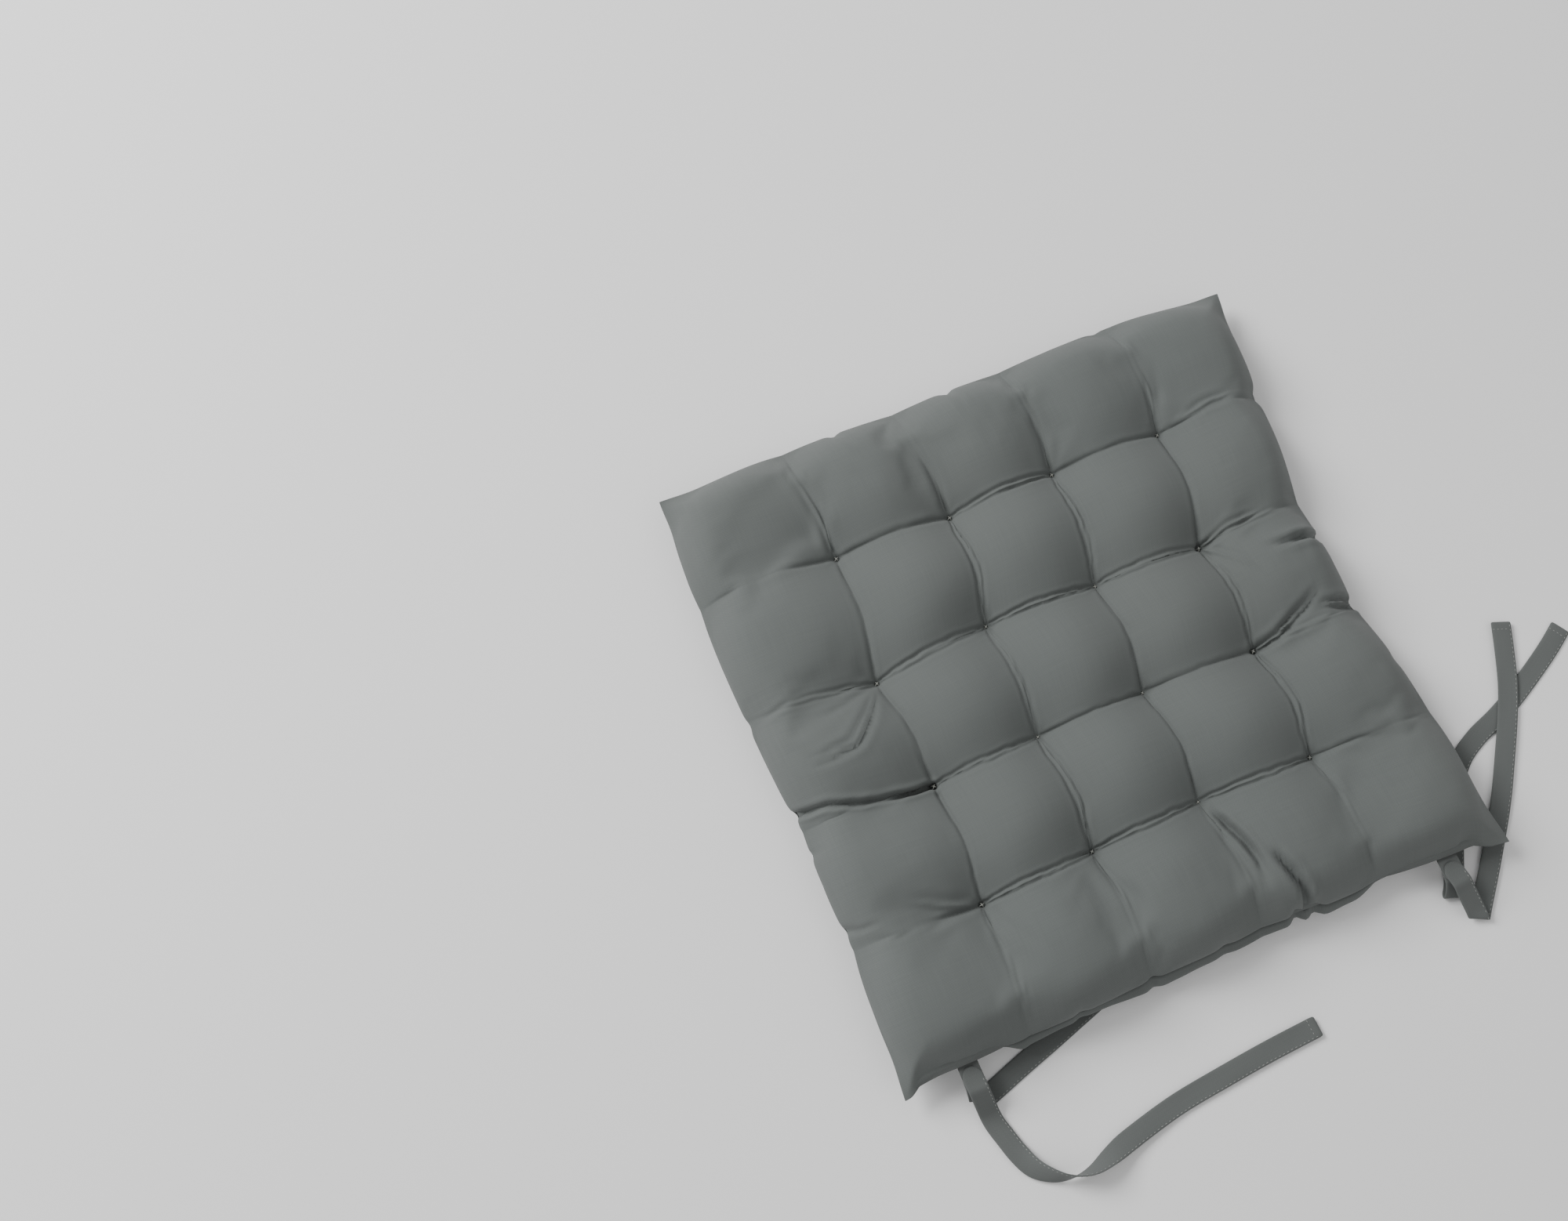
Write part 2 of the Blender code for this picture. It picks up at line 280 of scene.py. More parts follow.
def applyModifier(piece, kind, **settings):
    pick(piece)
    modifier = piece.modifiers.new(kind.lower(), kind)
    for name, value in settings.items():
        setattr(modifier, name, value)
    bpy.ops.object.modifier_apply(modifier=modifier.name)


def smoothSurface(piece, levels=1):
    applyModifier(piece, "SUBSURF", levels=levels, render_levels=levels)


def finishPiece(piece, name, material, slot, body, *nodes):
    applyTransform(piece)
    bpy.ops.object.shade_smooth()
    piece.name = piece.data.name = name
    piece.data.materials.clear()
    piece.data.materials.append(material)
    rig.ride(piece, body)
    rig.slot(piece, slot)
    if nodes:
        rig.replaces(piece, *nodes)
    return piece


def getPoints(piece, field="co"):
    points = np.empty(len(piece.data.vertices) * 3)
    piece.data.vertices.foreach_get(field, points)
    return points.reshape(-1, 3)


def setPoints(piece, points):
    piece.data.vertices.foreach_set("co", np.asarray(points, dtype=float).ravel())
    piece.data.update()


def weaveMap(piece):
    layers = piece.data.uv_layers
    weave = layers[0] if layers else layers.new()
    weave.name = "weave"
    return weave


def weaveFromPlan(piece):
    for loop, place in zip(piece.data.loops, weaveMap(piece).data):
        place.uv = piece.data.vertices[loop.vertex_index].co.xy


# materials

class Value:
    # a socket that can be used in plain arithmetic
    def __init__(self, shader, socket):
        self.shader, self.socket = shader, socket

    def join(self, operation, other, swap=False):
        pair = (other, self) if swap else (self, other)
        return self.shader.node("ShaderNodeMath", {"operation": operation}, pair)

    def __add__(self, other): return self.join("ADD", other)
    def __radd__(self, other): return self.join("ADD", other, True)
    def __sub__(self, other): return self.join("SUBTRACT", other)
    def __rsub__(self, other): return self.join("SUBTRACT", other, True)
    def __mul__(self, other): return self.join("MULTIPLY", other)
    def __rmul__(self, other): return self.join("MULTIPLY", other, True)


class Shader:
    def __init__(self, name):
        self.material = bpy.data.materials.new(name)
        self.material.use_nodes = True
        self.tree = self.material.node_tree
        self.skin = self.tree.nodes["Principled BSDF"]

    def node(self, kind, settings=None, inputs=(), output=0):
        made = self.tree.nodes.new(kind)
        for name, value in (settings or {}).items():
            setattr(made, name, value)
        named = inputs.items() if isinstance(inputs, dict) else enumerate(inputs)
        for key, value in named:
            if isinstance(value, Value):
                self.tree.links.new(value.socket, made.inputs[key])
            else:
                made.inputs[key].default_value = value
        return Value(self, made.outputs[output])

    def color(self, value):
        return (*value, 1)

    def sine(self, value):
        return self.node("ShaderNodeMath", {"operation": "SINE"}, (value,))

    def noise(self, where, scale, detail=3.0, roughness=0.55):
        return self.node("ShaderNodeTexNoise", {}, {
            "Vector": where, "Scale": scale, "Detail": detail, "Roughness": roughness})

    def stretch(self, where, scale):
        return self.node("ShaderNodeMapping", {}, {"Vector": where, "Scale": scale})

    def mix(self, share, first, second, blend="MIX"):
        return self.node("ShaderNodeMix", {"data_type": "RGBA", "blend_type": blend},
                         {0: share, 6: first, 7: second}, 2)

    def parts(self, vector):
        made = self.node("ShaderNodeSeparateXYZ", {}, (vector,))
        return made, Value(self, made.socket.node.outputs[1])

    def surface(self, color, roughness, normal=None, **constants):
        for key, value in (("Base Color", color), ("Roughness", roughness), ("Normal", normal)):
            if isinstance(value, Value):
                self.tree.links.new(value.socket, self.skin.inputs[key])
            elif value is not None:
                self.skin.inputs[key].default_value = value
        for key, value in constants.items():
            self.skin.inputs[key.replace("_", " ")].default_value = value


clothLook = {
    "color": (0.118, 0.131, 0.128),
    "paleColor": (0.146, 0.160, 0.156),
    "warmColor": (0.134, 0.137, 0.126),
    "yarnPitch": 0.00056,      # metres from one yarn to the next
    "yarnDepth": 0.00005,
    "slubs": (1400, 30),       # uneven stretches of yarn: how many a metre, across and along it
    "bloom": (9.0, 0.7),       # pale washed patches: how many a metre, and their share
    "warmth": (3.5, 0.35),
    "roughness": 0.93,
}


def wovenCloth(name, look):
    # plain weave on a UV map in metres: yarns, uneven yarns, and a faint washed bloom
    cloth = Shader(name)
    uv = cloth.node("ShaderNodeUVMap", {"uv_map": "weave"})
    across, along = cloth.parts(uv)
    turns = math.tau / (2 * look["yarnPitch"])
    weave = cloth.sine(across * turns) * cloth.sine(along * turns)
    fine, coarse = look["slubs"]
    slub = (cloth.noise(cloth.stretch(uv, (fine, coarse, 1)), 1.0)
            + cloth.noise(cloth.stretch(uv, (coarse, fine, 1)), 1.0)) * 0.5
    bloomScale, bloomShare = look["bloom"]
    warmthScale, warmthShare = look["warmth"]
    bloom = cloth.noise(uv, bloomScale, 4.0)
    warmth = cloth.noise(uv, warmthScale, 2.0)
    base = cloth.mix(bloom * bloomShare, cloth.color(look["color"]), cloth.color(look["paleColor"]))
    base = cloth.mix(warmth * warmthShare, base, cloth.color(look["warmColor"]))
    shade = 0.94 + weave * 0.05 + (slub - 0.5) * 0.22
    tone = cloth.node("ShaderNodeCombineColor", {}, (shade, shade, shade))
    base = cloth.mix(1.0, base, tone, "MULTIPLY")
    normal = cloth.node("ShaderNodeBump", {}, {
        "Strength": 0.5, "Distance": look["yarnDepth"], "Height": weave * 0.5 + slub * 0.8})
    cloth.surface(base, look["roughness"] - slub * 0.08, normal, Sheen_Weight=0.1,
                  Sheen_Roughness=0.6, Specular_IOR_Level=0.2)
    return cloth.material


def spunThread(name, color):
    thread = Shader(name)
    where = thread.node("ShaderNodeTexCoord", {}, (), 3)
    fuzz = thread.noise(where, 2600.0, 2.0)
    base = thread.mix(fuzz, thread.color([c * 0.75 for c in color]), thread.color(color))
    normal = thread.node("ShaderNodeBump", {}, {"Strength": 0.4, "Distance": 0.0001, "Height": fuzz})
    thread.surface(base, 0.7 + fuzz * 0.15, normal, Sheen_Weight=0.1)
    return thread.material


def waddingFluff():
    fluff = Shader("waddingFluff")
    where = fluff.node("ShaderNodeTexCoord", {}, (), 3)
    strands = fluff.noise(where, 420.0, 6.0, 0.7)
    base = fluff.mix(strands, fluff.color((0.62, 0.62, 0.60)), fluff.color((0.82, 0.82, 0.80)))
    normal = fluff.node("ShaderNodeBump", {}, {"Strength": 0.8, "Distance": 0.001, "Height": strands})
    fluff.surface(base, 0.95, normal, Sheen_Weight=0.3)
    return fluff.material


# ties: each repeats its CAD route

tape = {
    "width": 0.013,
    "wall": 0.0010,
    "cadWall": 0.0012,         # the CAD tie's, which sets how far a pair's roots lie apart
    "gap": 0.0003,             # between a tie and its anchor
    "steps": 6,                # cross-sections along each stretch of a route
    "columns": 6,              # faces across the tape
    "curl": 0.00035,           # how far the middle bows out of the tape's face
    "curlWave": (90, 1),       # radians of its wave for each metre, and at the root
    "rootRound": 0.96,         # how round the root's end is
    "hem": 0.0065,             # the turned end
    "hemRise": 0.0003,
    "hemEase": 0.001,
    "hemStitch": 0.0012,       # from the hem's start to its line of stitches
    "hemPitch": 0.9,           # its stitches' pitch, as a share of the others'
    "edgeStitch": 0.0013,      # from the sewn edge to its line of stitches
    "edgeEnds": (0.004, 0.002),      # from the root and the end to that line
    "stitchPitch": 0.0029,
    "stitchStray": 0.0001,
    "stitchSize": (0.00085, 0.00018, 0.00012),
}

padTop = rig.box("top_cover")[1][2]
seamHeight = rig.box("top_cover")[0][2]
anchorBox = {side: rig.box(side + "_tie_anchor") for side in ("left", "right")}
tieRoot = {side: Vector(((box[0][0] + box[1][0]) / 2, box[0][1] + tape["width"] / 2, seamHeight))
           for side, box in anchorBox.items()}

# x, y and height in millimetres from the tie's root, the direction of the tape's width and its
# tilt in degrees; a height of None follows the anchor
tieRoutes = {
    "left_tie_upper": [
        (0, 0, None, 0, 0), (0.3, -8, None, 0, 0), (0.8, -13.4, 14, 2, 0), (1.3, -19, 9.2, 4, 0),
        (1.9, -25, 4.6, 6, 0), (3, -31.5, 2.7, 10, 0), (5.2, -39.4, 2.4, 18, 0),
        (8.6, -51, 3.1, 25, 4), (14, -62.5, 5.4, 38, 28), (24, -71.2, 7.8, 58, 58),
        (34, -75, 8.6, 78, 85), (45, -75.6, 8.4, 92, 112), (58, -72.6, 6.2, 100, 143),
        (74, -68.4, 3.8, 103, 172), (106.7, -61.5, 2.4, 100, 180), (139.6, -57.6, 2.4, 97, 180),
        (172.8, -54.4, 2.4, 95, 180), (206.5, -52.2, 2.4, 93, 180)],
    "left_tie_lower": [
        (0, 0, None, 0, 0), (-0.2, -5.6, None, 0, 0), (-0.4, -10.4, 10.4, 0, 0),
        (-0.4, -14, 5.8, -8, 0), (0, -15.6, 2.6, -35, 0), (1.4, -15, 0.95, -60, 0),
        (8, -13.6, 0.9, -69, 0), (29.4, -6.6, 0.9, -71, 0), (54.4, 1, 0.9, -72, 0),
        (78.3, 8.6, 0.9, -73, 0), (100, 15.4, 0.9, -73, 0), (124, 22.6, 0.9, -76, 0),
        (150, 26.8, 0.9, -84, 0), (180, 28.2, 0.9, -90, 0), (212, 28, 0.9, -92, 0),
        (244, 26.4, 0.9, -94, 0)],
    "right_tie_upper": [
        (0, 0, None, 8, 0), (1.4, -8, None, 8, 0), (2.6, -13.8, 14, 8, 0),
        (4, -20.6, 10, 8, 0), (5.2, -27, 6.6, 6, 0), (6, -31.8, 4.4, -20, 0),
        (8, -30.6, 2.5, -38, 0), (14.5, -22.6, 2.4, -40, 0), (32, -1.4, 2.4, -41, 0),
        (53.7, 26.6, 2.4, -37, 0), (71.5, 53.4, 2.4, -33, 0), (84, 73, 2.4, -29, 0),
        (94, 91, 2.4, -26, 0), (103, 112, 2.4, -22, 0), (109.8, 129.6, 2.4, -20, 0)],
    "right_tie_lower": [
        (0, 0, None, -8, 0), (-0.8, -5.6, None, -8, 0), (-1.4, -10.2, 10.4, -8, 0),
        (-2, -13.6, 5.8, -10, 0), (-2, -15, 2.6, -18, 0), (-1, -13.2, 0.95, -28, 0),
        (3, -7.4, 0.9, -29, 0), (14.6, 14.6, 0.9, -30, 0), (28, 39.5, 0.9, -35, 0),
        (42, 57.6, 0.9, -46, 0), (59, 68.2, 0.9, -58, 0), (78.9, 75.6, 0.9, -63, 0),
        (98, 84.5, 0.9, -62, 0), (127, 100.5, 0.9, -59, 0), (144.7, 112.1, 0.9, -57, 0)],
}


def smoothBetween(before, start, end, after, share):
    return 0.5 * (2 * start + (end - before) * share
                  + (2 * before - 5 * start + 4 * end - after) * share ** 2
                  + (3 * start - before - 3 * end + after) * share ** 3)


def tieFrames(name):
    # along the tape: middle, direction across and face direction, and the length so far
    side, level = name.split("_tie_")
    root = tieRoot[side]
    rise = (1 if level == "upper" else -1) * (tape["cadWall"] + tape["gap"])
    rows = []
    for x, y, height, across, tilt in tieRoutes[name]:
        z = seamHeight + rise if height is None else height * 0.001
        rows.append(np.array([root.x + x * 0.001, root.y + y * 0.001, z,
                              math.radians(across), math.radians(tilt)]))
    last = len(rows) - 1
    middles, acrosses = [], []
    for i in range(last):
        around = [rows[k] for k in (max(0, i - 1), i, i + 1, min(last, i + 2))]
        if i == 0:
            around[-1] = 2 * rows[1] - rows[0]     # straight and level along the anchor
        for step in range(tape["steps"] + (i == last - 1)):
            x, y, z, across, tilt = smoothBetween(*around, step / tape["steps"])
            middles.append((x, y, z))
            acrosses.append((math.cos(tilt) * math.cos(across), math.cos(tilt) * math.sin(across),
                             math.sin(tilt)))
    middles, acrosses = np.array(middles), np.array(acrosses)
    along = np.gradient(middles, axis=0)
    along /= np.linalg.norm(along, axis=1)[:, None]
    faces = np.cross(acrosses, along)
    faces /= np.linalg.norm(faces, axis=1)[:, None]
    lengths = np.concatenate([[0], np.cumsum(np.linalg.norm(np.diff(middles, axis=0), axis=1))])
    return middles, acrosses, along, faces, lengths


def layTape(name, material):
    middles, acrosses, along, faces, lengths = tieFrames(name)
    count = len(middles) - 1
    deselectAll()
    bpy.ops.mesh.primitive_grid_add(x_subdivisions=count, y_subdivisions=tape["columns"], size=2)
    piece = bpy.context.active_object
    flat = getPoints(piece)
    row = np.rint((flat[:, 0] + 1) * count / 2).astype(int)
    share = flat[:, 1]
    half = tape["width"] / 2
    # the root end is round, about its own pivot
    roundEnd = -half * np.sqrt(np.maximum(0, 1 - share ** 2)) * tape["rootRound"]
    roundEnd = np.where(row == 0, roundEnd, 0)
    turns, begin = tape["curlWave"]
    curl = tape["curl"] * (1 - share ** 2) * np.sin(lengths[row] * turns + begin)
    points = (middles[row] + acrosses[row] * (share * half)[:, None] + faces[row] * curl[:, None]
              + along[row] * roundEnd[:, None])
    setPoints(piece, points)
    for loop, place in zip(piece.data.loops, weaveMap(piece).data):
        place.uv = (lengths[row[loop.vertex_index]], share[loop.vertex_index] * half)
    applyModifier(piece, "SOLIDIFY", thickness=tape["wall"], offset=0.0)
    # the end is turned under and sewn down
    points, normals = getPoints(piece), getPoints(piece, "normal")
    toEnd = np.linalg.norm(points - middles[-1], axis=1)
    thick = smoothStep((tape["hem"] + tape["hemEase"] - toEnd) / tape["hemEase"])
    upward = normals @ faces[-1]
    setPoints(piece, points + faces[-1] * (np.sign(upward) * (abs(upward) > 0.5)
                                           * thick * tape["hemRise"])[:, None])
    smoothSurface(piece)
    path = [tuple(p) for p in middles]
    finishPiece(piece, name.replace("_tie_", "Tie").replace("upper", "Upper").replace("lower", "Lower"),
                material, "tie_tape", name, name)
    return piece, path, float(lengths[-1])


def layStitches(name, material, tie):
    # one line along the sewn edge and one across the hem, on both faces of the tape
    middles, acrosses, along, faces, lengths = tieFrames(name)
    half = tape["width"] / 2
    sewn = half - tape["edgeStitch"]
    total = lengths[-1]
    seeds = random.Random(name)
    turns, begin = tape["curlWave"]
    first, last = tape["edgeEnds"]
    spots = [(place, sewn, False) for place in np.arange(first, total - last, tape["stitchPitch"])]
    spots += [(total - tape["hem"] + tape["hemStitch"], x, True)
              for x in np.arange(-sewn, sewn, tape["stitchPitch"] * tape["hemPitch"])]
    deselectAll()
    bpy.ops.mesh.primitive_ico_sphere_add(subdivisions=1, radius=1)
    mark = bpy.context.active_object
    for place, across, turned in spots:
        at = [np.array([np.interp(place, lengths, column[:, k]) for k in range(3)])
              for column in (middles, acrosses, along, faces)]
        middle, sideways, forward, face = (Vector(v) for v in at)
        run, rest = (sideways, forward) if turned else (forward, sideways)
        lift = tape["wall"] / 2 + (tape["hemRise"] if total - place < tape["hem"] else 0)
        for sign in (1, -1):
            stray = seeds.uniform(-tape["stitchStray"], tape["stitchStray"])
            spot = middle + sideways * (across + stray) + face * (sign * lift)
            spot += face * tape["curl"] * (1 - (across / half) ** 2) * math.sin(place * turns + begin)
            turn = Matrix((run, rest, face)).transposed().to_4x4()
            size = Matrix.Diagonal((*tape["stitchSize"], 1))
            joined = copyTo(mark, Matrix.Translation(spot) @ turn @ size)
            joined.select_set(True)
    mark.select_set(False)
    bpy.data.objects.remove(mark)
    bpy.context.view_layer.objects.active = joined
    bpy.ops.object.join()
    applyTransform(joined)
    inEditMode(joined, (bpy.ops.mesh.normals_make_consistent, {"inside": False}))
    return finishPiece(joined, tie.name + "Stitches", material, "thread", name)


def makeAnchor(side, material):
    # the folded middle of a pair of ties, caught in the seam: round outside, square inside
    box = anchorBox[side]
    root = tieRoot[side]
    deselectAll()
    bpy.ops.mesh.primitive_cylinder_add(vertices=32, radius=tape["width"] / 2,
                                        depth=box[1][2] - box[0][2], location=root)
    piece = bpy.context.active_object
    applyTransform(piece)
    points = getPoints(piece)
    inner = points[:, 1] > root.y + 0.0001
    points[inner, 1] = box[1][1]
    setPoints(piece, points)
    applyModifier(piece, "BEVEL", width=0.0003, segments=2, limit_method="ANGLE")
    weaveFromPlan(piece)
    finishPiece(piece, side + "TieAnchor", material, "tie_tape", "pad", side + "_tie_anchor")
    pick(piece)
    bpy.ops.object.shade_smooth_by_angle(angle=math.radians(40))
    return piece


def makeTies(cloth, thread):
    for name in tieRoutes:
        tie, path, length = layTape(name, cloth)
        stitches = layStitches(name, thread, tie)
        side, level = name.split("_tie_")
        extra = [stitches]
        if level == "upper":
            extra.append(makeAnchor(side, cloth))
        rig.cord(tie, exit=path[0], length=round(length, 3), diameter=tape["width"], far_end="bare",
                stiffness="limp", lay="loose", path=path, with_pieces=extra)
        print(name, "laid,", round(length * 1000), "mm")


# the quilted pad

pad = {
    "cells": 5,
    "stepsPerCell": 26,
    "crowding": 0.6,           # draws the cloth's grid lines in towards the channels
    "roundness": 0.8,          # under 1 is fuller at the sides of a cell
    "edgeRoundness": 0.85,     # the same beside the seam
    "hollow": (0.10, 0.42),    # how round a channel's bottom is, inside the pad and beside the seam
    "channelShare": 0.45,      # height of a channel's hump, as a share of a crown
    "channelFade": 0.85,       # how far a channel has filled out where it meets the seam
    "pit": (0.34, 0.21),       # how deep the cloth is drawn in round a stitch, and its radius in cells
    "bow": 0.0032,             # how far the columns' channels swing out between two rows
    "flatShare": 0.66,         # underside fullness past which a cell rests flat
    "spareCloth": 0.05,        # how much longer the cloth is than the room it has
    "pressure": 2.5,
    "frames": 14,
    "cap": 0.0026,             # how far the cloth may move from its cut shape
    "cornerFade": 0.9,         # how near a corner, in cells, that move fades out
    # unevenness of the cells: its share, seed and how many to a cell
    "uneven": [(0.10, 3.1, 0.8), (0.05, 8.4, 2.3)],
    "wall": 0.0005,
    # where the near seam stands back from the ties, in cells: first, its run-in, last, its run-out
    "tieRoom": [(0.04, 0.15, 0.96, 0.28), (3.78, 0.52, 4.88, 0.20)],
    "tieRetreat": 0.0045,
    "cut": 0.400,              # each panel's side, inside its seam allowance
}

# Where the stitches and the seam lie, in millimetres: six points a row, from the near seam back
padLattice = [
    [(-203, -208), (-120, -200), (-39, -198), (36, -195), (113, -197), (201, -207)],
    [(-195, -116), (-115, -120), (-40, -116), (33, -113), (109, -114), (191, -116)],
    [(-196, -38), (-113, -43), (-41, -39), (31, -38), (107, -40), (179, -39)],
    [(-203, 38), (-120, 30), (-42, 38), (33, 36), (105, 34), (177, 38)],
    [(-203, 116), (-112, 115), (-34, 113), (39, 115), (114, 114), (186, 114)],
    [(-203, 196), (-117, 193), (-40, 192), (37, 193), (115, 195), (198, 193)],
]
seamBulge = 0.0020             # each cell's stretch of seam stands out between the tuft lines
cornerEar = (0.0007, 0.26, 0.14)     # the nick beside each corner: depth, place and width in cells

# Folds that run off the channels, in cells from the left and the near side:
# points, depth and half width in metres, distance between a double fold's two lines
looseFolds = [
    ([(1.0, 2.0), (0.72, 2.02), (0.46, 2.03), (0.24, 2.12), (0.0, 2.15)], 0.0044, 0.0015, 0),
    ([(0.96, 2.94), (0.8, 2.72), (0.6, 2.52), (0.36, 2.46), (0.16, 2.52)], 0.0021, 0.0020, 0.0052),
    ([(1.0, 3.0), (0.8, 2.9), (0.55, 2.82), (0.4, 2.84)], 0.0012, 0.0022, 0),
    ([(0.36, 3.03), (0.2, 2.98), (0.06, 2.98)], 0.0012, 0.0018, 0),
    ([(0.0, 1.17), (0.12, 1.13), (0.28, 1.12)], 0.0020, 0.0016, 0),
    ([(0.98, 1.0), (0.7, 1.1), (0.42, 1.22)], 0.0009, 0.0026, 0.006),
    ([(4.22, 4.03), (4.45, 4.06), (4.74, 4.06)], 0.0013, 0.0018, 0.004),
    ([(5.0, 2.66), (4.82, 2.68), (4.6, 2.70), (4.36, 2.74)], 0.0058, 0.0021, 0),
    ([(4.0, 3.0), (4.3, 3.06), (4.62, 3.04)], 0.0012, 0.0015, 0.0035),
    ([(4.0, 2.0), (4.22, 2.04), (4.48, 2.15), (4.72, 2.3)], 0.0026, 0.0020, 0.0028),
    ([(5.0, 2.04), (4.84, 2.08), (4.6, 2.11)], 0.0036, 0.0020, 0.0040),
    ([(4.0, 3.0), (4.1, 2.86), (4.22, 2.66), (4.3, 2.4)], 0.0014, 0.0020, 0.005),
    ([(3.04, 0.96), (3.09, 0.72), (3.13, 0.5), (3.15, 0.26)], 0.0070, 0.0019, 0),
    ([(3.24, 0.52), (3.33, 0.32), (3.39, 0.18), (3.39, 0.0)], 0.0085, 0.0024, 0),
    ([(1.0, 1.0), (1.15, 0.72), (1.35, 0.4)], 0.0008, 0.0030, 0),
    ([(1.0, 1.0), (0.72, 0.98), (0.5, 0.94)], 0.0012, 0.0020, 0),
    ([(2.0, 1.0), (2.04, 0.7), (2.16, 0.42)], 0.0007, 0.0030, 0),
    ([(4.0, 1.0), (4.16, 0.76), (4.3, 0.5)], 0.0007, 0.0030, 0),
    ([(4.0, 4.0), (4.1, 4.3), (4.14, 4.6)], 0.0009, 0.0028, 0),
    ([(3.0, 4.0), (2.98, 4.35), (3.0, 4.7)], 0.0009, 0.0028, 0),
    ([(1.0, 4.0), (0.98, 4.4), (0.96, 4.8)], 0.0011, 0.0022, 0.004),
    ([(2.0, 4.0), (1.98, 4.4), (1.9, 4.7)], 0.0010, 0.0024, 0),
    ([(2.5, 5.0), (2.53, 4.85), (2.5, 4.66)], 0.0011, 0.0017, 0),
    ([(1.45, 5.0), (1.5, 4.86), (1.56, 4.72)], 0.0008, 0.0020, 0),
]
# Nicks in the seam: side, place along it in cells, depth and half width in metres
seamNicks = [
    ("near", 3.31, 0.0050, 0.0040), ("near", 3.46, 0.0046, 0.0042), ("near", 2.02, 0.0018, 0.0040),
    ("near", 1.42, 0.0014, 0.0036), ("near", 2.66, 0.0012, 0.0050), ("right", 2.64, 0.0030, 0.0042),
    ("right", 4.02, 0.0028, 0.0060), ("right", 2.06, 0.0020, 0.0048), ("right", 1.50, 0.0010, 0.0050),
    ("left", 2.14, 0.0026, 0.0046), ("left", 1.80, 0.0012, 0.0030), ("left", 1.15, 0.0016, 0.0046),
    ("left", 2.96, 0.0012, 0.0050), ("far", 2.50, 0.0022, 0.0044), ("far", 1.46, 0.0016, 0.0040),
    ("far", 3.90, 0.0012, 0.0040),
]

# the cloth's height at a stitch, inside the CAD tuft's two flanges
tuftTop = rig.box("tuft_11")[1][2] - 0.0026
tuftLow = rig.box("tuft_11")[0][2] + 0.0022


def smoothStep(value):
    value = np.clip(value, 0, 1)
    return value * value * (3 - 2 * value)


def cellLines():
    # the cloth's grid lines along one side, in cells, closer together near the channels
    places = np.arange(pad["cells"] * pad["stepsPerCell"] + 1) / pad["stepsPerCell"]
    return places - pad["crowding"] * np.sin(math.tau * places) / math.tau


def edgeDistance(s, t):
    cells = pad["cells"]
    return np.maximum(0, np.minimum(np.minimum(s, cells - s), np.minimum(t, cells - t)))


def crest(places, others):
    # one direction's profile: 0 on a channel or the seam, 1 at the middle of a cell
    cells = pad["cells"]
    outer = (places < 0.5) | (places > cells - 0.5)
    power = np.where(outer, pad["edgeRoundness"], pad["roundness"])
    wave = np.abs(np.sin(np.pi * places)) ** power
    # a channel is a round hollow, not a sharp one, and more so towards the seam
    rim = np.minimum(others, cells - others)
    inner, border = pad["hollow"]
    soft = inner * np.abs(np.sin(np.pi * others)) + border * (1 - smoothStep((rim - 0.1) / 0.85))
    soft = np.where(outer, 0, soft)
    return np.hypot(wave, soft) / np.hypot(1, soft)


def fullness(s, t):
    across, along = crest(s, t), crest(t, s)
    nearSeam = 1 - smoothStep((edgeDistance(s, t) - 0.12) / 0.75)
    share = pad["channelShare"] + (1 - pad["channelShare"]) * pad["channelFade"] * nearSeam
    hump = across * (1 - along) + along * (1 - across)
    cell = across * along
    full = cell + share * hump * (1 - 0.35 * cell) * smoothStep(edgeDistance(s, t) / 0.35)
    depth, radius = pad["pit"]
    toStitch = np.hypot(s - np.round(s), t - np.round(t))
    drawn = np.exp(-(toStitch / radius) ** 2) * smoothStep((edgeDistance(s, t) - 0.4) / 0.3)
    return full * (1 - depth * drawn)


def seamOffset(places, seed):
    # how far a side's seam stands out, along its length
    cells = pad["cells"]
    wave = np.abs(np.sin(np.pi * places))
    uneven = np.array([noise.noise(Vector((p * 0.9, seed, 0))) for p in places])
    inner = smoothStep((np.minimum(places, cells - places) - 0.5) / 0.6)
    depth, place, width = cornerEar
    ear = sum(np.exp(-((at - place) / width) ** 2) for at in (places, cells - places))
    return seamBulge * wave * (0.35 + 0.65 * inner) * (1 + 0.6 * uneven) - depth * ear


def blend(grid, i, j, a, b):
    # between four neighbours of a grid: a across, b along
    return (grid[j, i] * (1 - a) * (1 - b) + grid[j, i + 1] * a * (1 - b)
            + grid[j + 1, i] * (1 - a) * b + grid[j + 1, i + 1] * a * b)


def planPoints(s, t):
    # places on the floor plan, between the lattice's points, with a scalloped seam
    grid = np.array(padLattice) * 0.001
    cells = pad["cells"]
    i, j = (np.clip(np.floor(v + 1e-6).astype(int), 0, cells - 1) for v in (s, t))
    plan = blend(grid, i, j, (s - i)[:, None], (t - j)[:, None])
    fade = [np.clip(1 - d, 0, 1) ** 2 for d in (s, cells - s, t, cells - t)]
    x = seamOffset(t, 2.5) * fade[1] - seamOffset(t, 7.1) * fade[0]
    y = seamOffset(s, 4.2) * fade[3] - seamOffset(s, 9.7) * fade[2]
    x = x + pad["bow"] * np.sin(np.pi * t) ** 2 * smoothStep(edgeDistance(s, t) / 0.8)
    return plan + np.stack([x, y], 1)


def roughCells(s, t, seed, size):
    return np.array([noise.noise(Vector((a * size, b * size, seed))) for a, b in zip(s, t)])


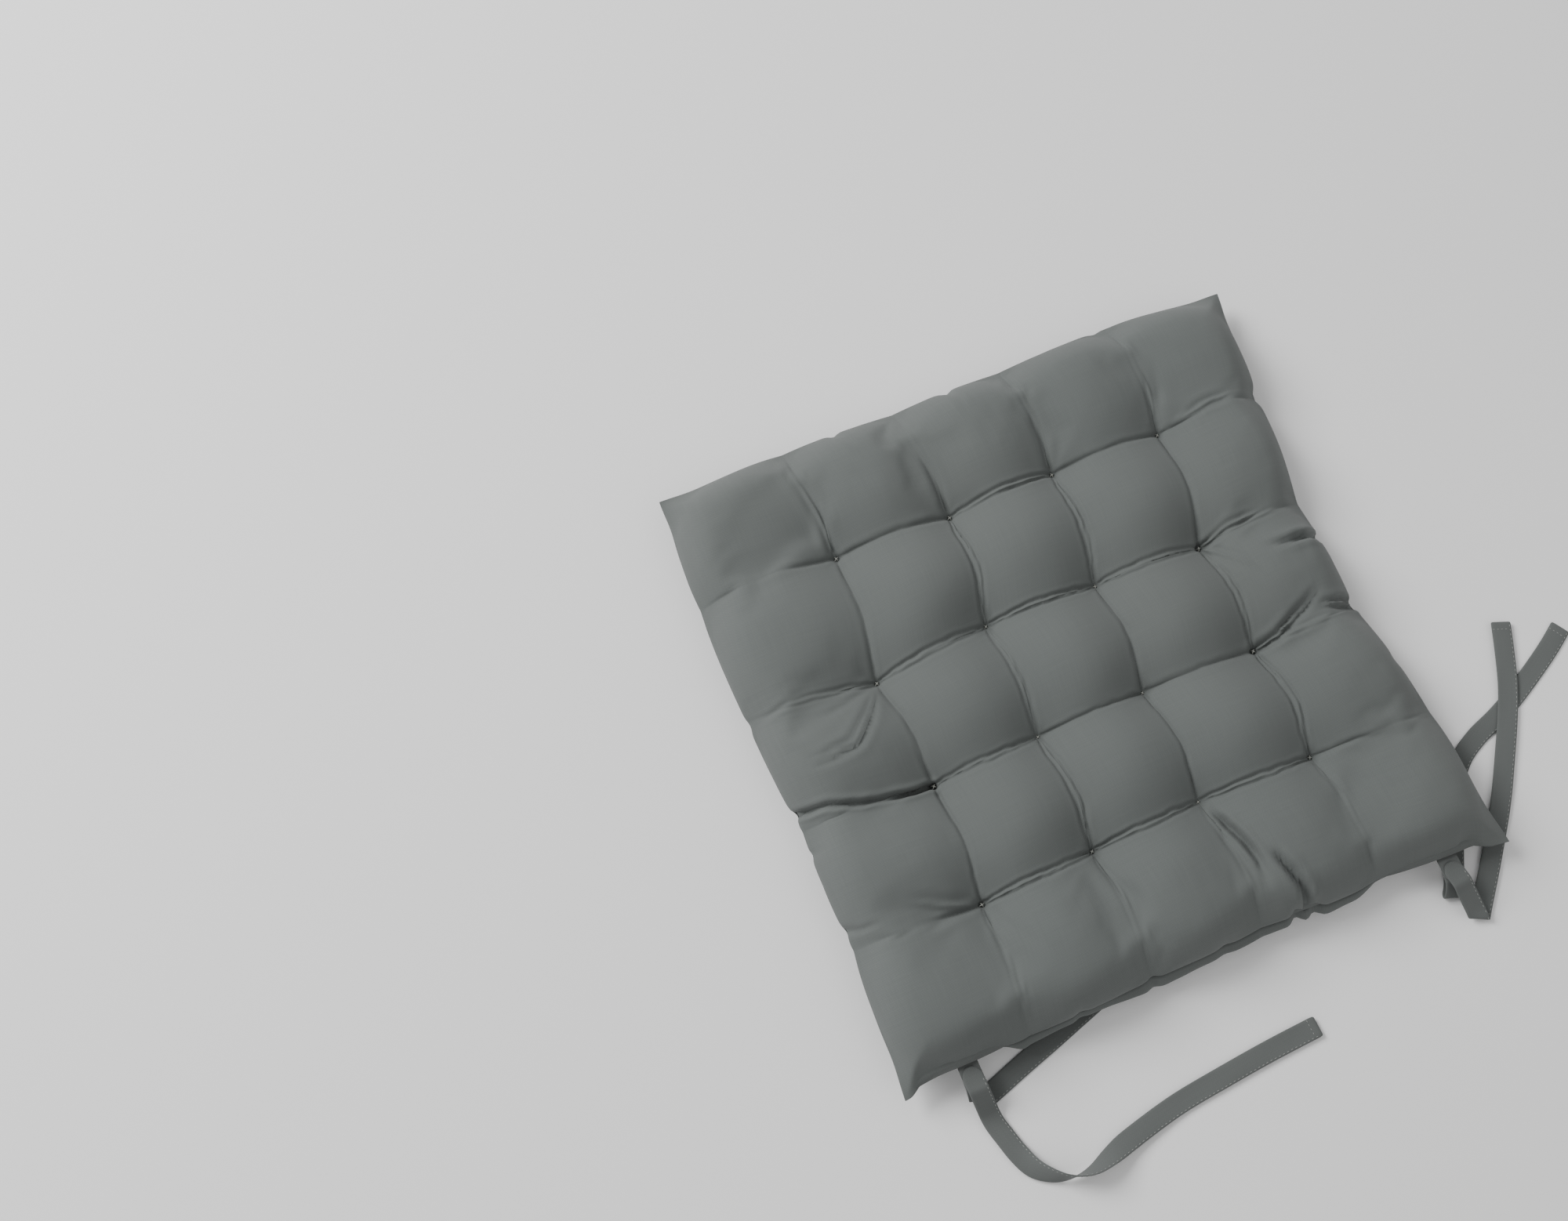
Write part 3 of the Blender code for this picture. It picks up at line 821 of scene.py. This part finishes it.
def cutPad():
    # a grid closed into two panels that meet in one seam, set to its quilted rest shape
    cells = pad["cells"]
    steps = cells * pad["stepsPerCell"]
    deselectAll()
    bpy.ops.mesh.primitive_grid_add(x_subdivisions=steps, y_subdivisions=steps, size=cells)
    piece = bpy.context.active_object
    piece.name = "padCloth"
    for panel in ("topPanel", "bottomPanel"):
        piece.data.materials.append(bpy.data.materials.new(panel))
    applyModifier(piece, "SOLIDIFY", thickness=1.0, offset=-1.0, material_offset=1,
                  material_offset_rim=1)
    flat = getPoints(piece)
    depth = edgeDistance(flat[:, 0] + cells / 2, flat[:, 1] + cells / 2)
    flat[:, 2] = np.where(flat[:, 2] > -0.5, depth, -depth)
    setPoints(piece, flat)
    inEditMode(piece, (bpy.ops.mesh.remove_doubles, {"threshold": 0.0001}),
               (bpy.ops.mesh.select_all, {"action": "DESELECT"}))
    flat = getPoints(piece)
    lines = cellLines()
    column = np.rint((flat[:, 0] + cells / 2) * pad["stepsPerCell"]).astype(int)
    row = np.rint((flat[:, 1] + cells / 2) * pad["stepsPerCell"]).astype(int)
    s, t, upper = lines[column], lines[row], flat[:, 2] >= 0
    full = fullness(s, t)
    swelling = 1
    for share, seed, size in pad["uneven"]:
        swelling = swelling + share * roughCells(s, t, seed, size)
    full *= swelling
    lift = smoothStep(edgeDistance(s, t) / 0.5)
    topBase = seamHeight + (tuftTop - seamHeight) * lift
    lowBase = seamHeight + (tuftLow - seamHeight) * lift
    high = topBase + (padTop - 0.001 - topBase) * full
    low = lowBase - lowBase * np.minimum(1, full / pad["flatShare"]) * lift
    setPoints(piece, np.column_stack([planPoints(s, t), np.where(upper, high, low)]))
    corners = np.empty(len(piece.data.loops), dtype=int)
    piece.data.loops.foreach_get("vertex_index", corners)
    places = np.column_stack([s, t])[corners] * pad["cut"] / cells
    weaveMap(piece).data.foreach_set("uv", places.ravel())
    return piece, (row, column, upper), s, t


def inflatePad(piece, s, t):
    # blows the pad up inside its stitches, so that the spare cloth puckers
    reach = 1.2 * cellLines()[1]
    nearTuft = np.hypot(s - np.round(s), t - np.round(t)) < reach
    inside = edgeDistance(s, t) > 0.5
    middle = pad["cells"] / 2
    corner = (np.abs(s - middle) > middle - 0.01) & (np.abs(t - middle) > middle - 0.01)
    held = piece.vertex_groups.new(name="held")
    held.add([int(i) for i in np.flatnonzero((nearTuft & inside) | corner)], 1.0, "REPLACE")
    rim = piece.vertex_groups.new(name="seam")
    fade = 1 - smoothStep(edgeDistance(s, t) / 0.08)
    for level in (0.25, 0.5, 0.75, 1.0):
        ring = np.flatnonzero((fade > level - 0.25) & (fade <= level))
        rim.add([int(i) for i in ring], level, "REPLACE")
    start = getPoints(piece)
    pick(piece)
    cloth = piece.modifiers.new("cloth", "CLOTH")
    settings = cloth.settings
    settings.quality = 5
    settings.mass = 0.3
    settings.tension_stiffness = 15
    settings.compression_stiffness = 15
    settings.shear_stiffness = 5
    settings.bending_stiffness = 0.2
    settings.use_pressure = True
    settings.uniform_pressure_force = pad["pressure"]
    settings.vertex_group_mass = "held"
    settings.shrink_min = -pad["spareCloth"]
    settings.shrink_max = 0.0
    settings.vertex_group_shrink = "seam"
    settings.effector_weights.gravity = 0
    cloth.collision_settings.use_collision = False
    scene = bpy.context.scene
    cloth.point_cache.frame_start = 1
    cloth.point_cache.frame_end = pad["frames"]
    for number in range(1, pad["frames"] + 1):
        scene.frame_set(number)
    bpy.ops.object.modifier_apply(modifier=cloth.name)
    scene.frame_set(1)
    moved = getPoints(piece) - start
    length = np.linalg.norm(moved, axis=1)
    share = pad["cap"] * np.tanh(length / pad["cap"]) / np.maximum(length, 1e-9)
    # the held corners stay in line with the cloth round them
    toCorner = np.hypot(middle - np.abs(s - middle), middle - np.abs(t - middle))
    share = share * smoothStep(toCorner / pad["cornerFade"])
    print("cloth moved", round(float(length.mean()) * 1000, 2), "mm, at most",
          round(float(length.max()) * 1000, 1), "mm")
    setPoints(piece, start + moved * share[:, None])


def restOnFloor(piece):
    points = getPoints(piece)
    soft = 0.0012
    z = points[:, 2]
    points[:, 2] = np.where(z < soft, soft * np.exp(np.minimum(0, z - soft) / soft), z)
    setPoints(piece, points)


def panelArrays(piece, order):
    # the two panels as square arrays of points, row by row from the near side
    row, column, upper = order
    points = getPoints(piece)
    steps = pad["cells"] * pad["stepsPerCell"]
    top, low = np.zeros((2, steps + 1, steps + 1, 3))
    rim = edgeDistance(cellLines()[column], cellLines()[row]) < 1e-6
    for sheet, chosen in ((top, upper | rim), (low, ~upper | rim)):
        sheet[row[chosen], column[chosen]] = points[chosen]
    return top, low


def sample(sheet, s, t):
    # points of a panel at any s and t
    lines = cellLines()
    order = np.arange(len(lines))
    s, t = np.interp(s, lines, order), np.interp(t, lines, order)
    i, j = (np.clip(np.floor(v).astype(int), 0, len(lines) - 2) for v in (s, t))
    return blend(sheet, i, j, (s - i)[..., None], (t - j)[..., None])


def splitPanels(piece):
    inEditMode(piece, (bpy.ops.mesh.separate, {"type": "MATERIAL"}))
    panels = [thing for thing in bpy.context.selected_objects if thing.type == "MESH"]
    panels.sort(key=lambda panel: getPoints(panel)[:, 2].mean())
    return panels[-1], panels[0]


def clothPlaces(piece):
    # each vertex's s and t, read back from the weave's UV map
    mesh = piece.data
    corners = np.empty(len(mesh.loops), dtype=int)
    mesh.loops.foreach_get("vertex_index", corners)
    places = np.empty(len(mesh.loops) * 2)
    mesh.uv_layers["weave"].data.foreach_get("uv", places)
    found = np.zeros((len(mesh.vertices), 2))
    found[corners] = places.reshape(-1, 2) / pad["cut"] * pad["cells"]
    return found[:, 0], found[:, 1]


fold = {
    "reach": 0.012,            # how far from its line a fold is felt
    "lip": (0.22, 2.3, 1.1),   # height, and place and width in half widths
    "ridge": (0.95, 0.3),      # the slack between a double fold's lines: height, and width for its space
    "waver": (0.0007, 160),    # sway of the line, and how many a metre
    "uneven": (0.45, 70),      # how much the depth comes and goes, and how many a metre
    "lean": [0.45, 0.45, 1.0],       # how far it follows the cloth's face, sideways and upright
}


def foldProfile(distance, width, apart=0.0):
    # a groove with a low lip on each side, or two grooves with a ridge of slack cloth between them
    off = np.abs(np.abs(distance) - apart / 2)
    groove = np.exp(-(off / width) ** 2)
    height, place, breadth = fold["lip"]
    lip = np.exp(-((np.abs(distance) - apart / 2 - place * width) / (breadth * width)) ** 2)
    slack, share = fold["ridge"]
    ridge = np.exp(-(distance / np.maximum(apart * share, 0.0002)) ** 2) * (apart > 0.001)
    return groove - height * lip - slack * ridge


def pressFold(plan, drop, line, depth, width, apart, fadeIn=0.12, fadeOut=0.35):
    # adds one fold's depth along a line to every point near it
    low, high = line.min(0) - fold["reach"], line.max(0) + fold["reach"]
    near = np.flatnonzero(((plan > low) & (plan < high)).all(1))
    points = plan[near]
    best = np.full(len(near), 9.0)
    signed, share = np.zeros(len(near)), np.zeros(len(near))
    count = len(line) - 1
    for k in range(count):
        start, run = line[k], line[k + 1] - line[k]
        size = float(run @ run)
        if size < 1e-12:
            continue
        along = ((points - start) @ run) / size
        held = np.clip(along, 0, 1)
        offset = points - start - held[:, None] * run
        distance = np.hypot(offset[:, 0], offset[:, 1])
        closer = distance < best
        best[closer] = distance[closer]
        turn = np.sign(run[0] * offset[:, 1] - run[1] * offset[:, 0])
        signed[closer] = (turn * distance)[closer]
        share[closer] = ((k + held) / count)[closer]
    ends = np.ones(len(near))
    if fadeIn:
        ends *= smoothStep(share / fadeIn)
    if fadeOut:
        ends *= smoothStep((1 - share) / fadeOut)
    # the line wavers, and its depth comes and goes
    sway, often = fold["waver"]
    signed = signed + sway * roughCells(*points.T, depth * 9000, often)
    change, often = fold["uneven"]
    ends *= 1 + change * roughCells(*points.T, 3.3, often)
    if apart:
        profile = foldProfile(signed, width, apart * np.sin(np.pi * np.clip(share, 0.03, 0.97)) ** 0.5)
    else:
        profile = foldProfile(signed, width)
    drop[near] += depth * ends * profile


channels = {
    "points": 15,              # along each stretch
    "drift": 0.018,            # how far a stretch wanders, in cells
    "depth": (0.0009, 0.0014),
    "apart": (0.0034, 0.0048),       # between a double fold's two lines
    "width": (0.0008, 0.0011),
    "singles": {"row": 0.2, "column": 0.3},      # how many stretches are a single crease
    "single": (0.72, 1.4),     # its depth and width against a double fold's
    "share": {"row": 1.0, "column": 0.85},       # of the depth
    "outer": {"row": 0.6, "column": 0.35},       # the same beside the seam
}


def channelFolds(sheet, seeds):
    # the sewn rows and columns: each stretch between two tufts is a double fold that wanders
    cells = pad["cells"]
    for level in range(1, cells):
        for k in range(cells):
            for upright in (False, True):
                way = "column" if upright else "row"
                share = np.linspace(0, 1, channels["points"])
                spots = [Vector((k * 3.7 + v * 2.6, level * 5.1, 9 * upright)) for v in share]
                drift = [channels["drift"] * noise.noise(spot) * math.sin(math.pi * v)
                         for spot, v in zip(spots, share)]
                run, still = k + share, level + np.array(drift)
                s, t = (still, run) if upright else (run, still)
                outer = k in (0, cells - 1)
                depth = seeds.uniform(*channels["depth"]) * channels["share"][way]
                apart = seeds.uniform(*channels["apart"]) * (seeds.random() > channels["singles"][way])
                width = seeds.uniform(*channels["width"])
                if not apart:          # a single crease is shallower and softer than a double fold
                    depth, width = channels["single"][0] * depth, channels["single"][1] * width
                fades = (0.0, 0.0)
                if outer:
                    depth *= channels["outer"][way]
                    fades = (1.0, 0.0) if k == 0 else (0.0, 1.0)
                yield sample(sheet, s, t)[:, :2], depth, width, apart, fades


def pressLooseFolds(plan, drop, sheet, wider=0.0):
    for places, depth, width, apart in looseFolds:
        s, t = np.array(places).T
        count = (len(s) - 1) * 5 + 1
        knots, fine = np.arange(len(s)), np.linspace(0, len(s) - 1, count)
        line = sample(sheet, np.interp(fine, knots, s), np.interp(fine, knots, t))[:, :2]
        atSeam = [edgeDistance(*places[k]) < 0.01 for k in (0, -1)]
        pressFold(plan, drop, line, depth, width + wider, apart,
                  0.0 if atSeam[0] or places[0][0] == round(places[0][0]) else 0.3,
                  0.0 if atSeam[1] else 0.45)


def foldPanel(panel, sheet, seed, isTop):
    # presses in the channels, the deeper fold where two meet, and on top the loose folds
    points, normals = getPoints(panel), getPoints(panel, "normal")
    plan = points[:, :2]
    widen = 1.0 if isTop else 1.2
    drop = np.zeros(len(points))
    for line, depth, width, apart, fades in channelFolds(sheet, random.Random(seed)):
        channel = np.zeros(len(points))
        pressFold(plan, channel, line, depth, width * widen, apart, *fades)
        drop = np.where(np.abs(channel) > np.abs(drop), channel, drop)
    if isTop:
        pressLooseFolds(plan, drop, sheet)
    else:
        drop *= smoothStep(points[:, 2] / 0.004)       # flat where it rests on the floor
    setPoints(panel, points - normals * drop[:, None] * fold["lean"])


seam = {
    "corner": 0.5,             # how near a corner, in cells, the roll dies out
    "roll": 0.0010,            # how far the panels stand out beyond the stitching
    "reach": 0.055,            # how far in, in cells, the roll is fullest
    "nearRoll": 0.0068,        # the bottom panel's roll along the near side
    "nearUneven": 0.5,
    "nearSag": 0.6,            # how far that roll hangs, as a share of it
    "nearRise": 0.0010,        # how far the top panel stands up there
    "groove": (0.0012, 0.02),  # the stitching's groove: depth, and width in cells
    "retreatReach": 0.25,      # how far in the cloth stands back from the ties
    "nickReach": 0.10,
    "cell": 0.08,              # a cell's rough size, for the nicks' widths
    # the opening round each anchor: half its width, its ease, its height and its reach in cells
    "mouth": (0.0095, 0.003, 0.0012, 0.1),
    "part": (0.00025, 0.02),   # how far the panels part at the seam, and how far in
}


def shapeSeam(panel, isTop):
    # the panels roll out beyond the stitching, most of all the bottom one along the near side
    points = getPoints(panel)
    s, t = clothPlaces(panel)
    cells = pad["cells"]
    sides = {"left": (s, t, (-1, 0)), "right": (cells - s, t, (1, 0)),
             "near": (t, s, (0, -1)), "far": (cells - t, s, (0, 1))}
    for name, (depth, place, outward) in sides.items():
        corner = smoothStep(np.minimum(place, cells - place) / seam["corner"])
        anchored = np.zeros(len(s))
        if name == "near":
            # the seam stands back beside each anchor, where the ties swing past it
            for first, rise, last, fall in pad["tieRoom"]:
                anchored += smoothStep((place - first) / rise) * smoothStep((last - place) / fall)
        roll = seam["roll"]
        swell = depth / seam["reach"] * np.exp(1 - depth / seam["reach"])
        if name == "near" and not isTop:
            uneven = np.array([noise.noise(Vector((p * 2.2, 5.5, 1.0))) for p in place])
            roll = seam["nearRoll"] * (1 + seam["nearUneven"] * uneven) * (1 - anchored)
            points[:, 2] -= seam["nearSag"] * roll * swell * corner
        elif name == "near":
            points[:, 2] += seam["nearRise"] * swell * corner
        shift = roll * swell * corner * (1 - anchored)
        shift = shift - pad["tieRetreat"] * anchored * np.exp(-(depth / seam["retreatReach"]) ** 2)
        if name == "near":
            sunk, wide = seam["groove"]
            shift = shift - sunk * np.exp(-(depth / wide) ** 2) * corner * (1 - anchored)
        for nickSide, at, size, width in seamNicks:
            if nickSide == name:
                reach = np.exp(-((place - at) * seam["cell"] / width) ** 2)
                shift = shift - size * (reach * np.exp(-(depth / seam["nickReach"]) ** 2))
        points[:, 0] += outward[0] * shift
        points[:, 1] += outward[1] * shift
        # the seam opens round each anchor
        if name == "near":
            half, ease, opening, inward = seam["mouth"]
            mouth = np.maximum.reduce([smoothStep((half - np.abs(points[:, 0] - root.x)) / ease)
                                       for root in tieRoot.values()])
            lift = opening if isTop else -opening
            points[:, 2] += lift * mouth * np.exp(-(depth / inward) ** 2)
    apart, inward = seam["part"]
    part = np.exp(-(edgeDistance(s, t) / inward) ** 2) * apart
    points[:, 2] += part if isTop else -part
    setPoints(panel, points)


wadding = {
    "steps": 100,              # faces along each side
    "margin": 0.16,            # from the seam, in cells
    "gap": (0.0035, 0.36),     # from each panel at most, and as a share of the room
    "push": 1.3,               # how far a fold presses it down, against the fold's own depth
    "spread": 0.004,           # how much wider than the fold
    "least": 0.002,            # what is left of it under a fold
    "rough": (0.0003, 6.6, 9.0),     # height, seed and how many to a cell
}


def settled(sheet, sign):
    # a panel drawn back to the deepest point of the cloth round each point
    deep = sheet[:, :, 2] * sign
    for axis in (0, 1):
        deep = np.max([np.roll(deep, k, axis) for k in range(-3, 4)], axis=0)
    sheet = sheet.copy()
    sheet[:, :, 2] = deep * sign
    return sheet


def makeWadding(top, low, material):
    # loose filling in the room between the panels
    cells = pad["cells"]
    steps, margin = wadding["steps"], wadding["margin"]
    deselectAll()
    bpy.ops.mesh.primitive_grid_add(x_subdivisions=steps, y_subdivisions=steps, size=cells)
    piece = bpy.context.active_object
    applyModifier(piece, "SOLIDIFY", thickness=1.0, offset=-1.0)
    flat = getPoints(piece)
    s, t = ((flat[:, k] / cells + 0.5) * (cells - 2 * margin) + margin for k in (0, 1))
    above, below = sample(settled(top, -1), s, t), sample(settled(low, 1), s, t)
    room = (above - below)[:, 2]
    most, share = wadding["gap"]
    wall = np.minimum(most, room * share)
    points = np.where((flat[:, 2] > -0.5)[:, None], above, below)
    # the folds above push the filling down
    pushed = np.zeros(len(points))
    pressLooseFolds(points[:, :2], pushed, top, wadding["spread"])
    deepest = np.maximum(0, room - 2 * wall - wadding["least"])
    pushed = np.clip(wadding["push"] * pushed, 0, deepest)
    points[:, 2] += np.where(flat[:, 2] > -0.5, -wall - pushed, wall)
    height, seed, size = wadding["rough"]
    points[:, 2] += height * roughCells(s, t, seed, size)
    setPoints(piece, points)
    finishPiece(piece, "looseWadding", material, "wadding", "pad", "filling")
    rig.padded(piece, fill=0.6)
    print("wadding placed")


allowance = {
    "steps": 60,               # faces along each side
    "inner": 0.15,             # its two edges' distance from the seam, in cells
    "outer": 0.045,
    "wall": 0.0009,
}


def makeAllowance(top, low, material):
    # the panels' raw edges, turned in and bound together behind the seam
    cells = pad["cells"]
    inner, outer = allowance["inner"], allowance["outer"]
    deselectAll()
    bpy.ops.mesh.primitive_grid_add(x_subdivisions=allowance["steps"] * 4, y_subdivisions=2, size=2)
    piece = bpy.context.active_object
    flat = getPoints(piece)
    turn = (flat[:, 0] + 1) * 2
    side = np.minimum(3, np.floor(turn + 1e-9)).astype(int)
    share = turn - side
    depth = outer + (flat[:, 1] + 1) / 2 * (inner - outer)
    run = depth + share * (cells - 2 * depth)
    s = np.choose(side, [run, cells - depth, cells - run, depth])
    t = np.choose(side, [depth, run, cells - depth, cells - run])
    above, below = sample(top, s, t), sample(low, s, t)
    setPoints(piece, (above + below) / 2)
    inEditMode(piece, (bpy.ops.mesh.remove_doubles, {"threshold": 0.00002}),
               (bpy.ops.mesh.normals_make_consistent, {"inside": False}))
    weaveFromPlan(piece)
    applyModifier(piece, "SOLIDIFY", thickness=allowance["wall"], offset=0.0)
    finishPiece(piece, "turnedAllowance", material, "cover_cloth", "pad", "seam_allowance")


stitch = {
    "loop": 0.0016,            # half the length of a loop of thread
    "turns": (20, 105),        # degrees, one loop each
    "strand": 0.00030,
    "rise": 0.0009,
    "sink": 0.0012,            # how far a loop's ends go down into the cloth
    "knot": 0.0005,
    "knotShape": (1.2, 1.0, 0.7),
    "proud": 0.0002,           # how far it stands off the cloth
    "core": 0.0006,            # radius of the thread through the pad
}


def modelKnot():
    # two crossed loops of thread over a small knot, lying on z = 0
    deselectAll()
    made = []
    for turn in stitch["turns"]:
        bpy.ops.curve.primitive_bezier_curve_add(radius=stitch["loop"])
        loop = bpy.context.active_object
        loop.data.bevel_depth = stitch["strand"]
        loop.data.bevel_resolution = 2
        loop.data.resolution_u = 8
        spline = loop.data.splines[0]
        for point, sign in zip(spline.bezier_points, (-1, 1)):
            point.handle_left_type = point.handle_right_type = "FREE"
            point.co = (sign * stitch["loop"], 0, -stitch["sink"])
            point.handle_left = (sign * stitch["loop"] * (1.1 if sign < 0 else 0.7), 0,
                                 stitch["rise"] * (-2 if sign < 0 else 1.4))
            point.handle_right = (sign * stitch["loop"] * (0.7 if sign < 0 else 1.1), 0,
                                  stitch["rise"] * (1.4 if sign < 0 else -2))
        loop.data.use_fill_caps = True
        loop.rotation_euler.z = math.radians(turn)
        made.append(loop)
    bpy.ops.mesh.primitive_uv_sphere_add(segments=10, ring_count=6, radius=stitch["knot"])
    ball = bpy.context.active_object
    ball.scale = stitch["knotShape"]
    ball.location.z = stitch["rise"] * 0.5
    made.append(ball)
    deselectAll()
    for thing in made:
        thing.select_set(True)
    bpy.context.view_layer.objects.active = made[0]
    bpy.ops.object.convert(target="MESH")
    bpy.context.view_layer.objects.active = ball
    bpy.ops.object.join()
    applyTransform(ball)
    return ball


def sewTufts(top, low, material):
    knot = modelKnot()
    seeds = random.Random(12)
    for row in range(1, pad["cells"]):
        for column in range(1, pad["cells"]):
            high = Vector(sample(top, np.array(float(column)), np.array(float(row))))
            deep = Vector(sample(low, np.array(float(column)), np.array(float(row))))
            deselectAll()
            parts = []
            for place, flip in ((high, 1), (deep, -1)):
                turn = Matrix.Rotation(seeds.uniform(0, math.pi), 4, "Z")
                if flip < 0:
                    turn = turn @ Matrix.Rotation(math.pi, 4, "X")
                off = Vector((0, 0, flip * stitch["proud"]))
                parts.append(copyTo(knot, Matrix.Translation(place + off) @ turn))
            length = high.z - deep.z
            bpy.ops.mesh.primitive_cylinder_add(vertices=10, radius=stitch["core"], depth=length,
                                                location=(high + deep) / 2)
            strand = bpy.context.active_object
            for copy in parts:
                copy.select_set(True)
            bpy.ops.object.join()
            finishPiece(strand, f"tuftStitch{row}{column}", material, "thread", "pad",
                        f"tuft_{row}{column}")
    bpy.data.objects.remove(knot)
    print("tufts sewn")


def makePad(cloth, fluff, thread):
    piece, order, s, t = cutPad()
    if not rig.quick():
        inflatePad(piece, s, t)
    restOnFloor(piece)
    top, low = panelArrays(piece, order)
    smoothSurface(piece)
    topPanel, bottomPanel = splitPanels(piece)
    foldPanel(topPanel, top, 41, True)
    foldPanel(bottomPanel, low, 77, False)
    shapeSeam(topPanel, True)
    shapeSeam(bottomPanel, False)
    for panel in (topPanel, bottomPanel):
        applyModifier(panel, "SOLIDIFY", thickness=pad["wall"], offset=-1.0)
    finishPiece(topPanel, "topPanelCloth", cloth, "cover_cloth", "pad", "top_cover")
    finishPiece(bottomPanel, "bottomPanelCloth", cloth, "cover_cloth", "pad", "bottom_cover")
    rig.padded(topPanel, fill=0.6)
    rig.padded(bottomPanel, fill=0.6)
    print("pad quilted")
    makeWadding(top, low, fluff)
    makeAllowance(top, low, cloth)
    sewTufts(top, low, thread)


makeCamera()
makeStudio()
greyCotton = wovenCloth("greyCotton", clothLook)
greyTape = wovenCloth("greyTape", {**clothLook, "color": (0.112, 0.122, 0.120),
                                   "paleColor": (0.138, 0.150, 0.147), "yarnDepth": 0.00007})
tuftThread = spunThread("tuftThread", (0.34, 0.35, 0.32))
tapeThread = spunThread("tapeThread", (0.42, 0.43, 0.41))
makeTies(greyTape, tapeThread)
makePad(greyCotton, waddingFluff(), tuftThread)

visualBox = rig.bounds()
with open("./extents.json", "w") as sizes:
    json.dump({"cad": [list(corner) for corner in cadBox],
               "visual": [list(corner) for corner in visualBox]}, sizes)
